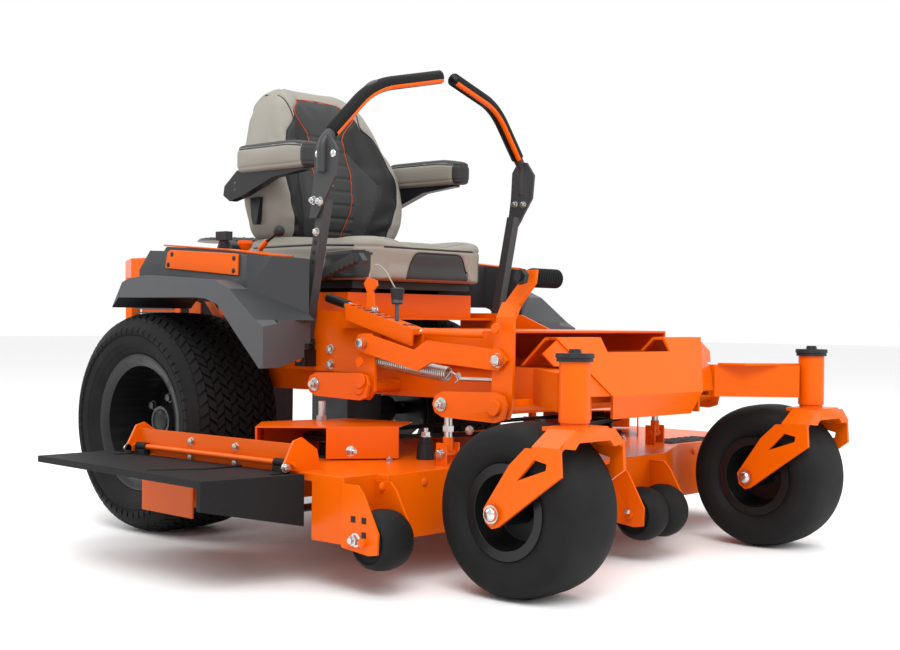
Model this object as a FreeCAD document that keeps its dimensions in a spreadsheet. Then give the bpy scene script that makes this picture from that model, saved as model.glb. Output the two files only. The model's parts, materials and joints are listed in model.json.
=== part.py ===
"""Zero turn mower, modelled as a parametric FreeCAD document.

Millimetres, +Z up.  The machine drives towards -Y, its right-hand side (the
discharge side) faces -X, and its rear axle lies above the line y = 0 of the
machine frame.  Every sub-part is drawn in the machine frame and then moved by
frame_shift_x and frame_shift_y, which put the origin on the ground under the
centre of the machine's footprint.
"""
import FreeCAD, Part
import Sketcher
import math
import os

Vector = FreeCAD.Vector
Rotation = FreeCAD.Rotation
Placement = FreeCAD.Placement

DIMENSIONS = {
    "frame_shift_x": 43.25, "frame_shift_y": 400,
    # main frame
    "rail_centre_x": 262, "rail_width": 50, "rail_height": 75, "rail_wall": 4,
    "rail_bottom": 362, "rail_front_y": -1130, "rail_rear_y": 430,
    # casters
    "caster_pivot_x": 458.7, "caster_pivot_y": -1300.9, "caster_trail": 110.9,
    "caster_tyre_radius": 170, "caster_tyre_half_width": 87, "caster_rim_radius": 88,
    "caster_tube_radius": 30, "caster_tube_bottom": 345, "caster_tube_top": 460,
    "stem_radius": 19, "running_gap": 0.08, "fork_half_width": 102, "fork_plate": 8,
    "fork_top": 338, "fork_shoulder": 300, "caster_axle_radius": 9.5,
    # drive wheels
    "rear_wheel_x": 428.5, "rear_tyre_radius": 274, "rear_tyre_half_width": 133.5,
    "rear_rim_radius": 152, "rear_flange_radius": 170, "axle_radius": 19, "tyre_wall": 12,
    # deck
    "deck_bottom": 95, "deck_top": 228, "deck_plate": 5, "deck_centre_x": 70,
    "spindle_spread": 500, "outer_spindle_y": -600, "centre_spindle_y": -790,
    "blade_radius": 260, "blade_width": 63, "blade_bottom": 116, "blade_thickness": 6,
    "pulley_radius": 60, "pulley_bottom": 264, "pulley_height": 18, "spindle_radius": 12.5,
    "roller_radius": 60, "roller_axle_z": 109, "roller_axle_radius": 8,
    # deck lift
    "lift_arm": 148, "lift_front_y": -1056, "lift_front_z": 358, "lift_rear_y": -655,
    "lift_rear_z": 385, "link_rise": 97, "lift_shaft_radius": 15, "lift_plate_x": 388,
    "hanger_x": 385,
    # operator controls
    "lever_x": 343, "lever_pivot_y": -400, "lever_pivot_z": 440, "post_size": 25.4,
    "lever_tube_radius": 12.7, "grip_radius": 17, "yoke_pin_radius": 8,
    # seat
    "seat_half_width": 245, "seat_front_y": -500, "seat_base_z": 632, "seat_top_z": 735,
    "back_half_width": 232, "armrest_x": 274, "armrest_width": 56,
    # discharge chute
    "chute_hinge_x": -716, "chute_hinge_z": 244, "chute_pin_radius": 6,
}

SHEET_NAME = "Sizes"

doc = FreeCAD.newDocument("zero_turn_mower")
sheet = doc.addObject("Spreadsheet::Sheet", SHEET_NAME)
for row, (alias, number) in enumerate(DIMENSIONS.items(), start=1):
    sheet.set("A%d" % row, alias)
    sheet.set("B%d" % row, str(number))
    sheet.setAlias("B%d" % row, alias)
doc.recompute()


class Size:
    """A number together with the sheet expression that it comes from."""

    def __init__(self, value, text):
        self.value = value
        self.text = text

    def __add__(self, other):
        other = as_size(other)
        return Size(self.value + other.value, "(%s + %s)" % (self.text, other.text))

    def __sub__(self, other):
        other = as_size(other)
        return Size(self.value - other.value, "(%s - %s)" % (self.text, other.text))

    def __mul__(self, other):
        other = as_size(other)
        return Size(self.value * other.value, "(%s * %s)" % (self.text, other.text))

    def __truediv__(self, other):
        other = as_size(other)
        return Size(self.value / other.value, "(%s / %s)" % (self.text, other.text))

    def __neg__(self):
        return Size(-self.value, "(0 - %s)" % self.text)

    def __radd__(self, other):
        return as_size(other) + self

    def __rsub__(self, other):
        return as_size(other) - self

    def __rmul__(self, other):
        return as_size(other) * self


def as_size(number):
    if isinstance(number, Size):
        return number
    return Size(float(number), repr(float(number)))


def value(number):
    return as_size(number).value


def dim(alias):
    return Size(float(DIMENSIONS[alias]), "%s.%s" % (SHEET_NAME, alias))


def bind(obj, prop, size, unit="mm"):
    """Set a property to a size, through the sheet when the size comes from it."""
    size = as_size(size)
    if SHEET_NAME in size.text:
        text = size.text if unit is None else "%s * 1 %s" % (size.text, unit)
        obj.setExpression(prop, text)
    return size.value


def place(obj, x=0, y=0, z=0, rotation=None):
    """Give an object its Placement, with each coordinate bound to the sheet."""
    obj.Placement = Placement(Vector(value(x), value(y), value(z)), rotation or Rotation())
    bind(obj, "Placement.Base.x", x)
    bind(obj, "Placement.Base.y", y)
    bind(obj, "Placement.Base.z", z)
    return obj


# ---------------------------------------------------------------- PartDesign

def new_body(name):
    body = doc.addObject("PartDesign::Body", name)
    body.Label = name
    return body


def sketch_on(body, role, offset=0):
    """A sketch on an origin plane of the body, moved along the plane's normal.

    XY: u = x, v = y.  XZ: u = x, v = z and the normal is -Y.  YZ: u = y, v = z.
    """
    sketch = body.newObject("Sketcher::SketchObject", body.Name + "_sketch")
    plane = [item for item in body.Origin.OriginFeatures if item.Role == role][0]
    sketch.AttachmentSupport = [(plane, "")]
    sketch.MapMode = "FlatFace"
    sketch.AttachmentOffset = Placement(Vector(0, 0, value(offset)), Rotation())
    bind(sketch, "AttachmentOffset.Base.z", offset)
    return sketch


def constrain(sketch, kind, indices, size):
    size = as_size(size)
    index = sketch.addConstraint(Sketcher.Constraint(kind, *indices, size.value))
    if SHEET_NAME in size.text:
        sketch.setExpression("Constraints[%d]" % index, size.text + " * 1 mm")


def add_polygon(sketch, points):
    """A closed outline whose corners are all dimensioned from the sketch origin."""
    corners = [Vector(value(u), value(v), 0) for u, v in points]
    first = sketch.GeometryCount
    count = len(corners)
    for index in range(count):
        sketch.addGeometry(Part.LineSegment(corners[index], corners[(index + 1) % count]))
    for index in range(count):
        following = first + (index + 1) % count
        sketch.addConstraint(Sketcher.Constraint("Coincident", first + index, 2, following, 1))
    for index, (u, v) in enumerate(points):
        constrain(sketch, "DistanceX", (-1, 1, first + index, 1), u)
        constrain(sketch, "DistanceY", (-1, 1, first + index, 1), v)


def add_circle(sketch, u, v, radius):
    centre = Vector(value(u), value(v), 0)
    index = sketch.addGeometry(Part.Circle(centre, Vector(0, 0, 1), value(radius)))
    constrain(sketch, "DistanceX", (-1, 1, index, 3), u)
    constrain(sketch, "DistanceY", (-1, 1, index, 3), v)
    size = as_size(radius)
    number = sketch.addConstraint(Sketcher.Constraint("Radius", index, size.value))
    if SHEET_NAME in size.text:
        sketch.setExpression("Constraints[%d]" % number, size.text + " * 1 mm")


def rectangle(u0, v0, u1, v1):
    return [(u0, v0), (u1, v0), (u1, v1), (u0, v1)]


def pad(body, role, offset, outlines, length, reversed_way=False, circles=()):
    sketch = sketch_on(body, role, offset)
    for outline in outlines:
        add_polygon(sketch, outline)
    for circle in circles:
        add_circle(sketch, *circle)
    feature = body.newObject("PartDesign::Pad", body.Name + "_pad")
    feature.Profile = sketch
    feature.Length = value(length)
    bind(feature, "Length", length)
    feature.Reversed = reversed_way
    sketch.Visibility = False
    return feature


def pocket(body, role, offset, outlines, length, reversed_way=False, circles=()):
    sketch = sketch_on(body, role, offset)
    for outline in outlines:
        add_polygon(sketch, outline)
    for circle in circles:
        add_circle(sketch, *circle)
    feature = body.newObject("PartDesign::Pocket", body.Name + "_pocket")
    feature.Profile = sketch
    feature.Length = value(length)
    bind(feature, "Length", length)
    feature.Reversed = reversed_way
    sketch.Visibility = False
    return feature


def revolve(body, role, outline, axis):
    sketch = sketch_on(body, role)
    add_polygon(sketch, outline)
    feature = body.newObject("PartDesign::Revolution", body.Name + "_revolution")
    feature.Profile = sketch
    feature.ReferenceAxis = (sketch, [axis])
    feature.Angle = 360
    sketch.Visibility = False
    return feature


def fillet_edges(body, feature, radius, wanted):
    """Round the straight edges of a feature for which wanted(start, end) is true."""
    doc.recompute()
    names = []
    for number, edge in enumerate(feature.Shape.Edges, start=1):
        if len(edge.Vertexes) == 2 and edge.Curve.TypeId == "Part::GeomLine":
            if wanted(edge.Vertexes[0].Point, edge.Vertexes[1].Point):
                names.append("Edge%d" % number)
    fillet = body.newObject("PartDesign::Fillet", body.Name + "_fillet")
    fillet.Base = (feature, names)
    fillet.Radius = radius
    return fillet


# ------------------------------------------------------- Part-bench solids

def box(name, x, y, z, length, width, height):
    item = doc.addObject("Part::Box", name)
    item.Length = value(length)
    item.Width = value(width)
    item.Height = value(height)
    bind(item, "Length", length)
    bind(item, "Width", width)
    bind(item, "Height", height)
    return place(item, x, y, z)


AXIS_TURN = {
    "x": Rotation(Vector(0, 1, 0), 90),
    "y": Rotation(Vector(1, 0, 0), -90),
    "z": Rotation(),
}


def cylinder(name, axis, x, y, z, radius, length):
    """A cylinder that starts at (x, y, z) and runs in the + direction of its axis."""
    item = doc.addObject("Part::Cylinder", name)
    item.Radius = value(radius)
    item.Height = value(length)
    bind(item, "Radius", radius)
    bind(item, "Height", length)
    return place(item, x, y, z, AXIS_TURN[axis])


def fuse(name, items):
    item = doc.addObject("Part::MultiFuse", name)
    item.Shapes = items
    item.Refine = True
    return item


def cut(name, base, tool):
    item = doc.addObject("Part::Cut", name)
    item.Base = base
    item.Tool = tool
    return item


def group(name, items):
    """Separate solids that share one node."""
    item = doc.addObject("Part::Compound", name)
    item.Links = items
    return item


def mirror(name, source, plane_x=0):
    item = doc.addObject("Part::Mirroring", name)
    item.Source = source
    item.Normal = Vector(1, 0, 0)
    item.Base = Vector(value(plane_x), 0, 0)
    bind(item, "Base.x", plane_x)
    return item


def bent_tube(name, points, bend_radius, outer_radius, inner_radius=0):
    """A tube along straight runs joined by tangent arcs."""
    edges = []
    start = points[0]
    for index in range(1, len(points) - 1):
        corner = points[index]
        back = (points[index - 1] - corner).normalize()
        ahead = (points[index + 1] - corner).normalize()
        half = (math.pi - back.getAngle(ahead)) / 2
        reach = bend_radius * math.tan(half)
        entry = corner + back * reach
        leave = corner + ahead * reach
        inward = (back + ahead).normalize()
        middle = corner + inward * (bend_radius / math.cos(half) - bend_radius)
        edges.append(Part.LineSegment(start, entry).toShape())
        edges.append(Part.Arc(entry, middle, leave).toShape())
        start = leave
    edges.append(Part.LineSegment(start, points[-1]).toShape())
    path = Part.Wire(edges)
    direction = points[1] - points[0]
    circles = []
    for radius in (outer_radius, inner_radius):
        if radius > 0:
            circles.append(Part.Wire(Part.Circle(points[0], direction, radius).toShape()))
    solids = [path.makePipeShell([circle], True, False) for circle in circles]
    shape = solids[0] if len(solids) == 1 else solids[0].cut(solids[1])
    item = doc.addObject("Part::Feature", name)
    item.Shape = shape
    return item


def plate_through(name, corners, thickness):
    """A flat plate with these corners on one face, thickened along their normal."""
    normal = (corners[1] - corners[0]).cross(corners[2] - corners[0]).normalize()
    corners = [corner - normal * (corner - corners[0]).dot(normal) for corner in corners]
    face = Part.Face(Part.makePolygon(corners + [corners[0]]))
    item = doc.addObject("Part::Feature", name)
    item.Shape = face.extrude(normal * thickness)
    return item


def loft_sections(name, sections):
    """A ruled closed solid through polygon sections."""
    wires = [Part.makePolygon(section + [section[0]]) for section in sections]
    item = doc.addObject("Part::Feature", name)
    item.Shape = Part.makeLoft(wires, True, True)
    return item


SUBPARTS = {}
SHIFT_X = dim("frame_shift_x")
SHIFT_Y = dim("frame_shift_y")


def finish(name, item, x=0, y=0, z=0):
    """Register a sub-part and move it from the machine frame to the part frame."""
    item.Label = name
    turn = item.Placement.Rotation
    place(item, SHIFT_X + x, SHIFT_Y + y, z, turn)
    SUBPARTS[name] = item
    return item


def finish_left(name, right_item):
    """The left-hand twin of a registered right-hand sub-part."""
    item = mirror("twin_" + name, right_item, SHIFT_X)
    item.Label = name
    SUBPARTS[name] = item
    return item


def joined_pair(name, right_item):
    """A node with a right-hand solid and its left-hand twin."""
    twin = mirror("twin_of_" + name, right_item)
    return finish(name, group("pair_" + name, [right_item, twin]))


# ------------------------------------------------------------------ frame

def build_main_frame():
    """Two box-section rails, their crossmembers and the two caster arms."""
    half = dim("rail_width") / 2
    wall = dim("rail_wall")
    low = dim("rail_bottom")
    high = low + dim("rail_height")
    length = dim("rail_rear_y") - dim("rail_front_y")
    inner = dim("rail_centre_x") - half
    rail = new_body("rail_tube")
    centre = -dim("rail_centre_x")
    outer_section = rectangle(centre - half, low, centre + half, high)
    bore_section = rectangle(centre - half + wall, low + wall, centre + half - wall, high - wall)
    pad(rail, "XZ_Plane", -dim("rail_rear_y"), [outer_section, bore_section], length)
    shaft_bore = dim("lift_shaft_radius") + dim("running_gap")
    bores = []
    for tag in ("front", "rear"):
        y = dim("lift_%s_y" % tag)
        z = dim("lift_%s_z" % tag)
        bores.append(cylinder("bore_" + tag, "x", centre - 40, y, z, shaft_bore, 80))
    rail_cut = cut("rail_drilled", rail, fuse("rail_bores", bores))
    pieces = [rail_cut, mirror("rail_left", rail_cut)]
    for number, y in enumerate((-1129.0, -380.0, 380.0)):
        outside = box("cross_out_%d" % number, -inner, y, low, inner * 2, 45, dim("rail_height"))
        inside = box("cross_in_%d" % number, -inner, y + 4, low + 4, inner * 2, 37, 67)
        pieces.append(cut("crossmember_%d" % number, outside, inside))
    arm = caster_arm()
    cap = caster_cap()
    pieces += [arm, mirror("caster_arm_left", arm), cap, mirror("caster_cap_left", cap)]
    finish("main_frame", group("main_frame_pieces", pieces))


def caster_arm_block(name, width, height):
    """A straight block that lies along the right-hand caster arm."""
    start = Vector(-287.5, -1101, 0)
    end = Vector(-value(dim("caster_pivot_x")), value(dim("caster_pivot_y")), 0)
    run = end - start
    angle = math.degrees(math.atan2(run.y, run.x))
    side = Rotation(Vector(0, 0, 1), angle + 90).multVec(Vector(1, 0, 0))
    corner = start - side * (width / 2) - run.normalize() * 40
    block = box(name, corner.x, corner.y, dim("rail_bottom"), 270, width, height)
    block.Placement.Rotation = Rotation(Vector(0, 0, 1), angle)
    return block


def caster_arm():
    """The diagonal box tube and the upright caster tube at its end."""
    x = -dim("caster_pivot_x")
    y = dim("caster_pivot_y")
    tube = caster_arm_block("arm_tube", 54, dim("rail_height"))
    rail_side = box("arm_limit", -287.2, -1400, 300, 400, 900, 200)
    shaft_room = cylinder("arm_shaft_room", "x", -430, dim("lift_front_y"), dim("lift_front_z"),
                          dim("lift_shaft_radius") + 3, 150)
    trimmed = cut("arm_trimmed", tube, fuse("arm_trims", [rail_side, shaft_room]))
    low = dim("caster_tube_bottom")
    high = dim("caster_tube_top")
    upright = cylinder("arm_upright", "z", x, y, low, dim("caster_tube_radius"), high - low)
    gusset = plate_through("arm_gusset", [
        Vector(-288, -1150, 437), Vector(-445, -1290, 437), Vector(-300, -1215, 437)], 5)
    whole = fuse("arm_fused", [trimmed, upright, gusset])
    bore = cylinder("arm_bore", "z", x, y, low - 5,
                    dim("stem_radius") + dim("running_gap"), high - low + 10)
    return cut("caster_arm", whole, bore)


def caster_cap():
    """Dust cap on the top of a caster tube."""
    x = -dim("caster_pivot_x")
    y = dim("caster_pivot_y")
    disc = cylinder("cap_disc", "z", x, y, dim("caster_tube_top"), 35, 7)
    hole = cylinder("cap_hole", "z", x, y, dim("caster_tube_top") - 1,
                    dim("stem_radius") + 0.4, 9)
    return cut("cap_ring", disc, hole)


def build_nose_cover():
    """Bent sheet cover over the front crossmember, with two raised towers."""
    tower = new_body("nose_sheet")
    outside = [(-1166, 329), (-1183, 379), (-1110, 502), (-1080, 502), (-1015, 441)]
    inside = [(-1023, 441), (-1083, 496), (-1107, 496), (-1177, 380), (-1160, 331)]
    pad(tower, "YZ_Plane", -276, [outside + inside], 552)
    pocket(tower, "XZ_Plane", 1300, [rectangle(-120, 470, 120, 520)], 400)
    slope = [(-300, 520), (-276, 502), (-173, 379), (-150, 329), (-150, 300), (-300, 300)]
    far_slope = [(-u, v) for u, v in slope]
    pocket(tower, "XZ_Plane", 1300, [slope, far_slope], 210)
    wing = plate_through("nose_wing_right", [
        Vector(-266, -1108, 500), Vector(-166, -1180, 380), Vector(-250, -1161, 380),
        Vector(-318, -1109, 469)], 4)
    arm_room = caster_arm_block("nose_arm_room", 57, dim("rail_height") + 6)
    rail_room = box("nose_rail_room", -292, -1132, 358, 60, 60, 79.5)
    trimmed = cut("nose_wing_trimmed", wing, fuse("nose_rooms", [arm_room, rail_room]))
    shape = fuse("nose_fused", [tower, trimmed, mirror("nose_wing_left", trimmed)])
    stay = box("nose_stay_right", -212, -1150, 330, 8, 21, 70)
    finish("nose_cover", group("nose_pieces", [shape, stay, mirror("nose_stay_left", stay)]))


def build_floor_pan():
    """Foot platform: a folded tray on top of the rails."""
    pan = new_body("floor_tray")
    low = dim("rail_bottom") + dim("rail_height")
    section = [
        (-300, low), (-294, low), (-294, 509), (294, 509), (294, low), (300, low),
        (300, 515), (-300, 515),
    ]
    pad(pan, "XZ_Plane", 420, [section], 575)
    finish("floor_pan", pan)


def build_seat_platform():
    """Welded seat box with the two side plates that carry the lever pivots."""
    tray = new_body("seat_box")
    pad(tray, "XY_Plane", 542, [rectangle(-225, -420, 225, 90)], 60)
    pocket(tray, "XY_Plane", 540, [rectangle(-220, -415, 220, 85)], 56, True)
    side = new_body("seat_side_plate")
    outline = [
        (-425, 412), (-575, 412), (-640, 506), (-520, 552), (-425, 556), (-300, 556), (-300, 412),
    ]
    pad(side, "YZ_Plane", -322, [outline], 6)
    floor = new_body("seat_floor")
    pad(floor, "XY_Plane", 536, [[
        (-322, -419), (322, -419), (322, -300), (285, -300), (285, 90), (-285, 90), (-285, -300),
        (-322, -300)]], 6)
    foot = box("side_plate_foot", -322, -418, 437, 82, 108, 6)
    lever_shaft = cylinder("lever_shaft", "x", -368, dim("lever_pivot_y"), dim("lever_pivot_z"),
                           dim("yoke_pin_radius"), 50)
    parts = [tray, side, mirror("side_plate_left", side), floor, foot, mirror("foot_left", foot),
             lever_shaft, mirror("lever_shaft_left", lever_shaft)]
    finish("seat_platform", fuse("seat_platform_fused", parts))


def build_fenders():
    """Moulded rear fenders with the wheel arch, stepped outwards towards the lip."""
    inner = -323
    lip = new_body("fender_lip")
    arch = [
        (81, 559), (52, 584), (-260, 583), (-301, 580), (-345, 567), (-414, 501), (-486, 435),
        (-497, 424), (-560, 424), (-560, 496), (-525, 510), (-484, 532), (-388, 603), (-338, 623),
        (-61, 638), (9, 631), (38, 622)]
    pad(lip, "YZ_Plane", inner, [arch], 243, True)
    middle = new_body("fender_middle")
    body_side = [
        (42, 600), (-300, 596), (-372, 566), (-440, 500), (-500, 490), (-500, 668), (-404, 681),
        (-250, 692), (-3, 702), (42, 655)]
    pad(middle, "YZ_Plane", inner, [body_side], 189, True)
    upper = new_body("fender_upper")
    top_side = [(42, 640), (-500, 620), (-500, 672), (-404, 681), (-250, 697), (-3, 714), (42, 672)]
    pad(upper, "YZ_Plane", inner, [top_side], 139, True)
    console_front = new_body("fender_console_front")
    pad(console_front, "XY_Plane", 532, [[
        (-512, -385), (-388, -462.5), (-300, -517.5), (-300, -580), (-530, -580), (-530, -385)]], 200)
    console = cut("fender_console", fuse("fender_boxes", [middle, upper]), console_front)
    solid = fuse("fender_fused", [lip, console])
    lip_front = new_body("fender_lip_front")
    pad(lip_front, "XY_Plane", 400, [[
        (-580, -515), (-300, -447), (-300, -620), (-580, -620)]], 132)
    arch_space = cylinder("fender_arch", "x", -600, 0, 274, 296, 275)
    lever_room = box("fender_lever_room", -388, -700, 400, 100, 370, 400)
    lift_room = box("fender_lift_room", -412, -700, 400, 126, 270, 78)
    spaces = fuse("fender_spaces", [arch_space, lip_front, lever_room, lift_room])
    joined_pair("fenders", cut("fender_cut", solid, spaces))


def build_console_panels():
    """Orange top plates of the two consoles and the screwed panels on the fenders."""
    top = new_body("console_top")
    section = [(15, 716.2), (-250, 697.2), (-404, 681.2), (-404, 685.2), (-250, 701.2), (15, 720.2)]
    pad(top, "YZ_Plane", -389, [section], 70, True)
    panel = new_body("fender_badge_panel")
    outline = [(-73, 657), (-356, 635), (-358, 684), (-340, 686), (-94, 701), (-82, 696)]
    pad(panel, "YZ_Plane", -512.4, [outline], 4, True)
    right = group("console_right", [top, panel])
    finish("console_panels", group("console_pieces", [right, mirror("console_left", right)]))


def build_engine():
    """Vertical-shaft twin engine, its shroud, air cleaner and exhaust."""
    crankcase = box("crankcase", -120, 150, 441, 240, 230, 150)
    heads = []
    for number, angle in enumerate((-45, 45)):
        turn = Rotation(Vector(0, 0, 1), angle)
        head = box("cylinder_%d" % number, 0, 0, 0, 110, 190, 110)
        head.Placement = Placement(Vector(0, 260, 470) + turn.multVec(Vector(-55, 0, 0)), turn)
        heads.append(head)
    mount = box("engine_mount", -285, 140, 437, 570, 195, 4)
    finish("engine_block", fuse("engine_fused", [crankcase, mount] + heads))
    shroud = new_body("shroud_body")
    pad(shroud, "XY_Plane", 592, [[
        (-170, 170), (-120, 150), (120, 150), (170, 170), (185, 360), (110, 430), (-110, 430),
        (-185, 360)]], 70)
    top = cylinder("shroud_fan_guard", "z", 0, 285, 662, 105, 22)
    canister = cylinder("air_cleaner", "x", -110, 215, 722, 36, 220)
    neck = box("air_neck", -40, 190, 660, 80, 60, 50)
    finish("engine_shroud", fuse("shroud_fused", [shroud, top, canister, neck]))
    can = cylinder("muffler_can", "x", -120, 492, 505, 48, 240)
    outlet = cylinder("muffler_outlet", "y", 95, 492, 505, 16, 58)
    shelf = box("muffler_shelf", -90, 388, 437, 180, 104, 6)
    stay = box("muffler_stay", -90, 486, 437, 180, 6, 40)
    finish("muffler", fuse("muffler_fused", [can, outlet, shelf, stay]))


def build_rear_guard():
    """Bent plate guard round the engine, on two legs from the rails."""
    plan = [(-300, 180), (-300, 391), (-205, 560), (205, 560), (300, 391), (300, 180)]
    inner = [(294, 180), (294, 389), (201, 554), (-201, 554), (-294, 389), (-294, 180)]
    band = new_body("guard_band")
    pad(band, "XY_Plane", 640, [plan + inner], 60)
    leg = box("guard_leg", -294, 395, 437, 30, 30, 210)
    foot = box("guard_foot", -287, 340, 437, 50, 85, 5)
    finish("rear_guard", fuse("guard_fused", [
        band, leg, foot, mirror("guard_leg_left", leg), mirror("guard_foot_left", foot)]))


def build_transaxles():
    """Hydrostatic drive units with their axle housings."""
    case = box("hydro_case", -230, -75, 200, 130, 150, 161)
    horn = cylinder("axle_horn", "x", -330, 0, dim("rear_tyre_radius"), 38, 110)
    pulley = cylinder("hydro_pulley", "z", -165, 0, 361, 55, 16)
    solid = fuse("hydro_fused", [case, horn, pulley])
    bore = cylinder("axle_bore", "x", -340, 0, dim("rear_tyre_radius"),
                    dim("axle_radius") + dim("running_gap"), 130)
    joined_pair("transaxles", cut("hydro_drilled", solid, bore))


# ----------------------------------------------------------------- wheels

def tyre_outline(radius, half, seat, wall, flange_rise):
    """Section of a tyre: tread, sidewalls and beads that stand inside the rim flanges."""
    outer = [
        (-0.80, 0.0), (-0.80, flange_rise), (-0.96, 0.22), (-1.0, 0.50), (-0.955, 0.74),
        (-0.84, 0.92), (-0.5, 0.985),
        (0.0, 1.0),
    ]
    depth = radius - seat
    points = []
    for across, rise in outer:
        points.append((half * across, seat + depth * rise))
    points += [(-u, v) for u, v in reversed(points[:-1])]
    inner_half = half - wall
    inner_top = radius - wall
    inside = [
        (half * 0.8 - wall, seat), (half * 0.8 - wall, seat + depth * 0.17),
        (inner_half * 0.95, seat + depth * 0.34),
        (inner_half, seat + depth * 0.5), (inner_half * 0.8, inner_top - depth * 0.09),
        (inner_half * 0.45, inner_top),
    ]
    points += inside + [(-u, v) for u, v in reversed(inside)]
    return points


def build_rear_wheels():
    """Drive wheels: hollow turf tyres on dished rims with five openings."""
    radius = dim("rear_tyre_radius")
    half = dim("rear_tyre_half_width")
    seat = dim("rear_rim_radius")
    tyre = new_body("rear_tyre")
    revolve(tyre, "XZ_Plane", tyre_outline(radius, half, seat, dim("tyre_wall"), 0.16), "H_Axis")
    right = finish("rear_tyre_right", tyre, -dim("rear_wheel_x"), 0, radius)
    finish_left("rear_tyre_left", right)
    flange = dim("rear_flange_radius")
    rim = new_body("rear_rim")
    edge = half * 0.8
    revolve(rim, "XZ_Plane", [
        (-edge - 4, flange - 8), (-edge - 4, flange), (-edge - 0.4, flange), (-edge - 0.4, seat - 0.4),
        (edge + 0.4, seat - 0.4), (edge + 0.4, flange), (edge + 4, flange), (edge + 4, flange - 8),
        (edge, seat - 6), (62, seat - 6), (52, 122), (40, 80), (40, dim("axle_radius")),
        (120, dim("axle_radius")), (120, 0), (-8, 0), (-8, 30), (10, 30), (10, 45), (30, 45),
        (30, 78), (42, 120), (50, seat - 12), (-edge + 4, seat - 12)], "H_Axis")
    window = pocket(rim, "YZ_Plane", 0, [[(-26, 84), (26, 84), (34, 118), (-34, 118)]], 90, True)
    pattern = rim.newObject("PartDesign::PolarPattern", "rim_windows")
    pattern.Originals = [window]
    x_axis = [item for item in rim.Origin.OriginFeatures if item.Role == "X_Axis"][0]
    pattern.Axis = (x_axis, [""])
    pattern.Angle = 360
    pattern.Occurrences = 5
    rim.Tip = pattern
    right = finish("rear_rim_right", rim, -dim("rear_wheel_x"), 0, radius)
    finish_left("rear_rim_left", right)


def build_caster_wheels():
    """Smooth caster tyres on small flanged rims, running on the fork's axle bolt."""
    radius = dim("caster_tyre_radius")
    half = dim("caster_tyre_half_width")
    seat = dim("caster_rim_radius")
    y = dim("caster_pivot_y") + dim("caster_trail")
    tyre = new_body("caster_tyre")
    revolve(tyre, "XZ_Plane", tyre_outline(radius, half, seat, 10, 0.09), "H_Axis")
    right = finish("caster_tyre_right", tyre, -dim("caster_pivot_x"), y, radius)
    finish_left("caster_tyre_left", right)
    rim = new_body("caster_rim")
    bore = dim("caster_axle_radius") + dim("running_gap")
    edge = half * 0.8
    hub = 88
    revolve(rim, "XZ_Plane", [
        (-hub, bore), (hub, bore), (hub, 24), (12, 26), (12, 60), (40, 72), (edge + 3, 74),
        (edge + 3, seat + 6), (edge + 0.4, seat + 6), (edge + 0.4, seat - 0.4), (-edge - 0.4, seat - 0.4),
        (-edge - 0.4, seat + 6), (-edge - 3, seat + 6), (-edge - 3, 74), (-40, 72), (-12, 60),
        (-12, 26), (-hub, 24)], "H_Axis")
    right = finish("caster_rim_right", rim, -dim("caster_pivot_x"), y, radius)
    finish_left("caster_rim_left", right)


def build_caster_forks():
    """Folded-plate forks with a welded stem; the axle bolt is a separate solid."""
    half = dim("fork_half_width")
    plate = dim("fork_plate")
    top = dim("fork_top")
    shoulder = dim("fork_shoulder")
    fork = new_body("fork_plate_work")
    pad(fork, "XY_Plane", top - plate, [[
        (-52, -42), (-34, -50), (34, -50), (52, -42), (52, 36), (-52, 36)]], plate)
    slope = [(-48, top), (-half, shoulder + 4), (-half, shoulder - 8), (-half + 9, shoulder - 4),
             (-48, top - plate)]
    for sign in (1, -1):
        section = [(u * sign, v) for u, v in slope]
        pad(fork, "XZ_Plane", -20, [section], 64)
        leg = [(36, shoulder), (-45, shoulder), (-48, 252), (102, 145), (116, 141), (132, 152),
               (137, 178), (74, 266)]
        slot = [(54, 238), (14, 280), (-16, 274), (-14, 262)]
        offset = -half if sign > 0 else half - plate
        pad(fork, "YZ_Plane", offset, [leg, slot], plate)
    pad(fork, "XZ_Plane", 44, [[
        (-62, top - 4), (62, top - 4), (96, 304), (60, 300), (48, 312), (-48, 312), (-60, 300),
        (-96, 304)]], 6)
    pad(fork, "XY_Plane", top, [], dim("caster_tube_bottom") - top - 0.4, circles=[(0, 0, 27)])
    stem_end = dim("caster_tube_top") + 12
    pad(fork, "XY_Plane", top, [], stem_end - top, circles=[(0, 0, dim("stem_radius"))])
    trail = dim("caster_trail")
    radius = dim("caster_tyre_radius")
    axle = cylinder("caster_axle", "x", -half - 6, trail, radius, dim("caster_axle_radius"),
                    half * 2 + 12)
    heads = []
    for number, x in enumerate((-half - 12, half + 1)):
        heads.append(cylinder("axle_head_%d" % number, "x", x, trail, radius, 14, 11))
    bolt = fuse("axle_bolt", [axle] + heads)
    drilled = cut("fork_drilled", fork, cylinder("fork_bore", "x", -half - 20, trail, radius,
                                                 dim("caster_axle_radius"), half * 2 + 40))
    right = finish("caster_fork_right", group("fork_group", [drilled, bolt]),
                   -dim("caster_pivot_x"), dim("caster_pivot_y"), 0)
    finish_left("caster_fork_left", right)


# ------------------------------------------------------------------- deck

def spindle_centres():
    """Plan positions of the three spindles, right, centre and left."""
    middle = dim("deck_centre_x")
    spread = dim("spindle_spread")
    return {
        "right": (middle - spread, dim("outer_spindle_y")),
        "centre": (middle, dim("centre_spindle_y")),
        "left": (middle + spread, dim("outer_spindle_y")),
    }


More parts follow.
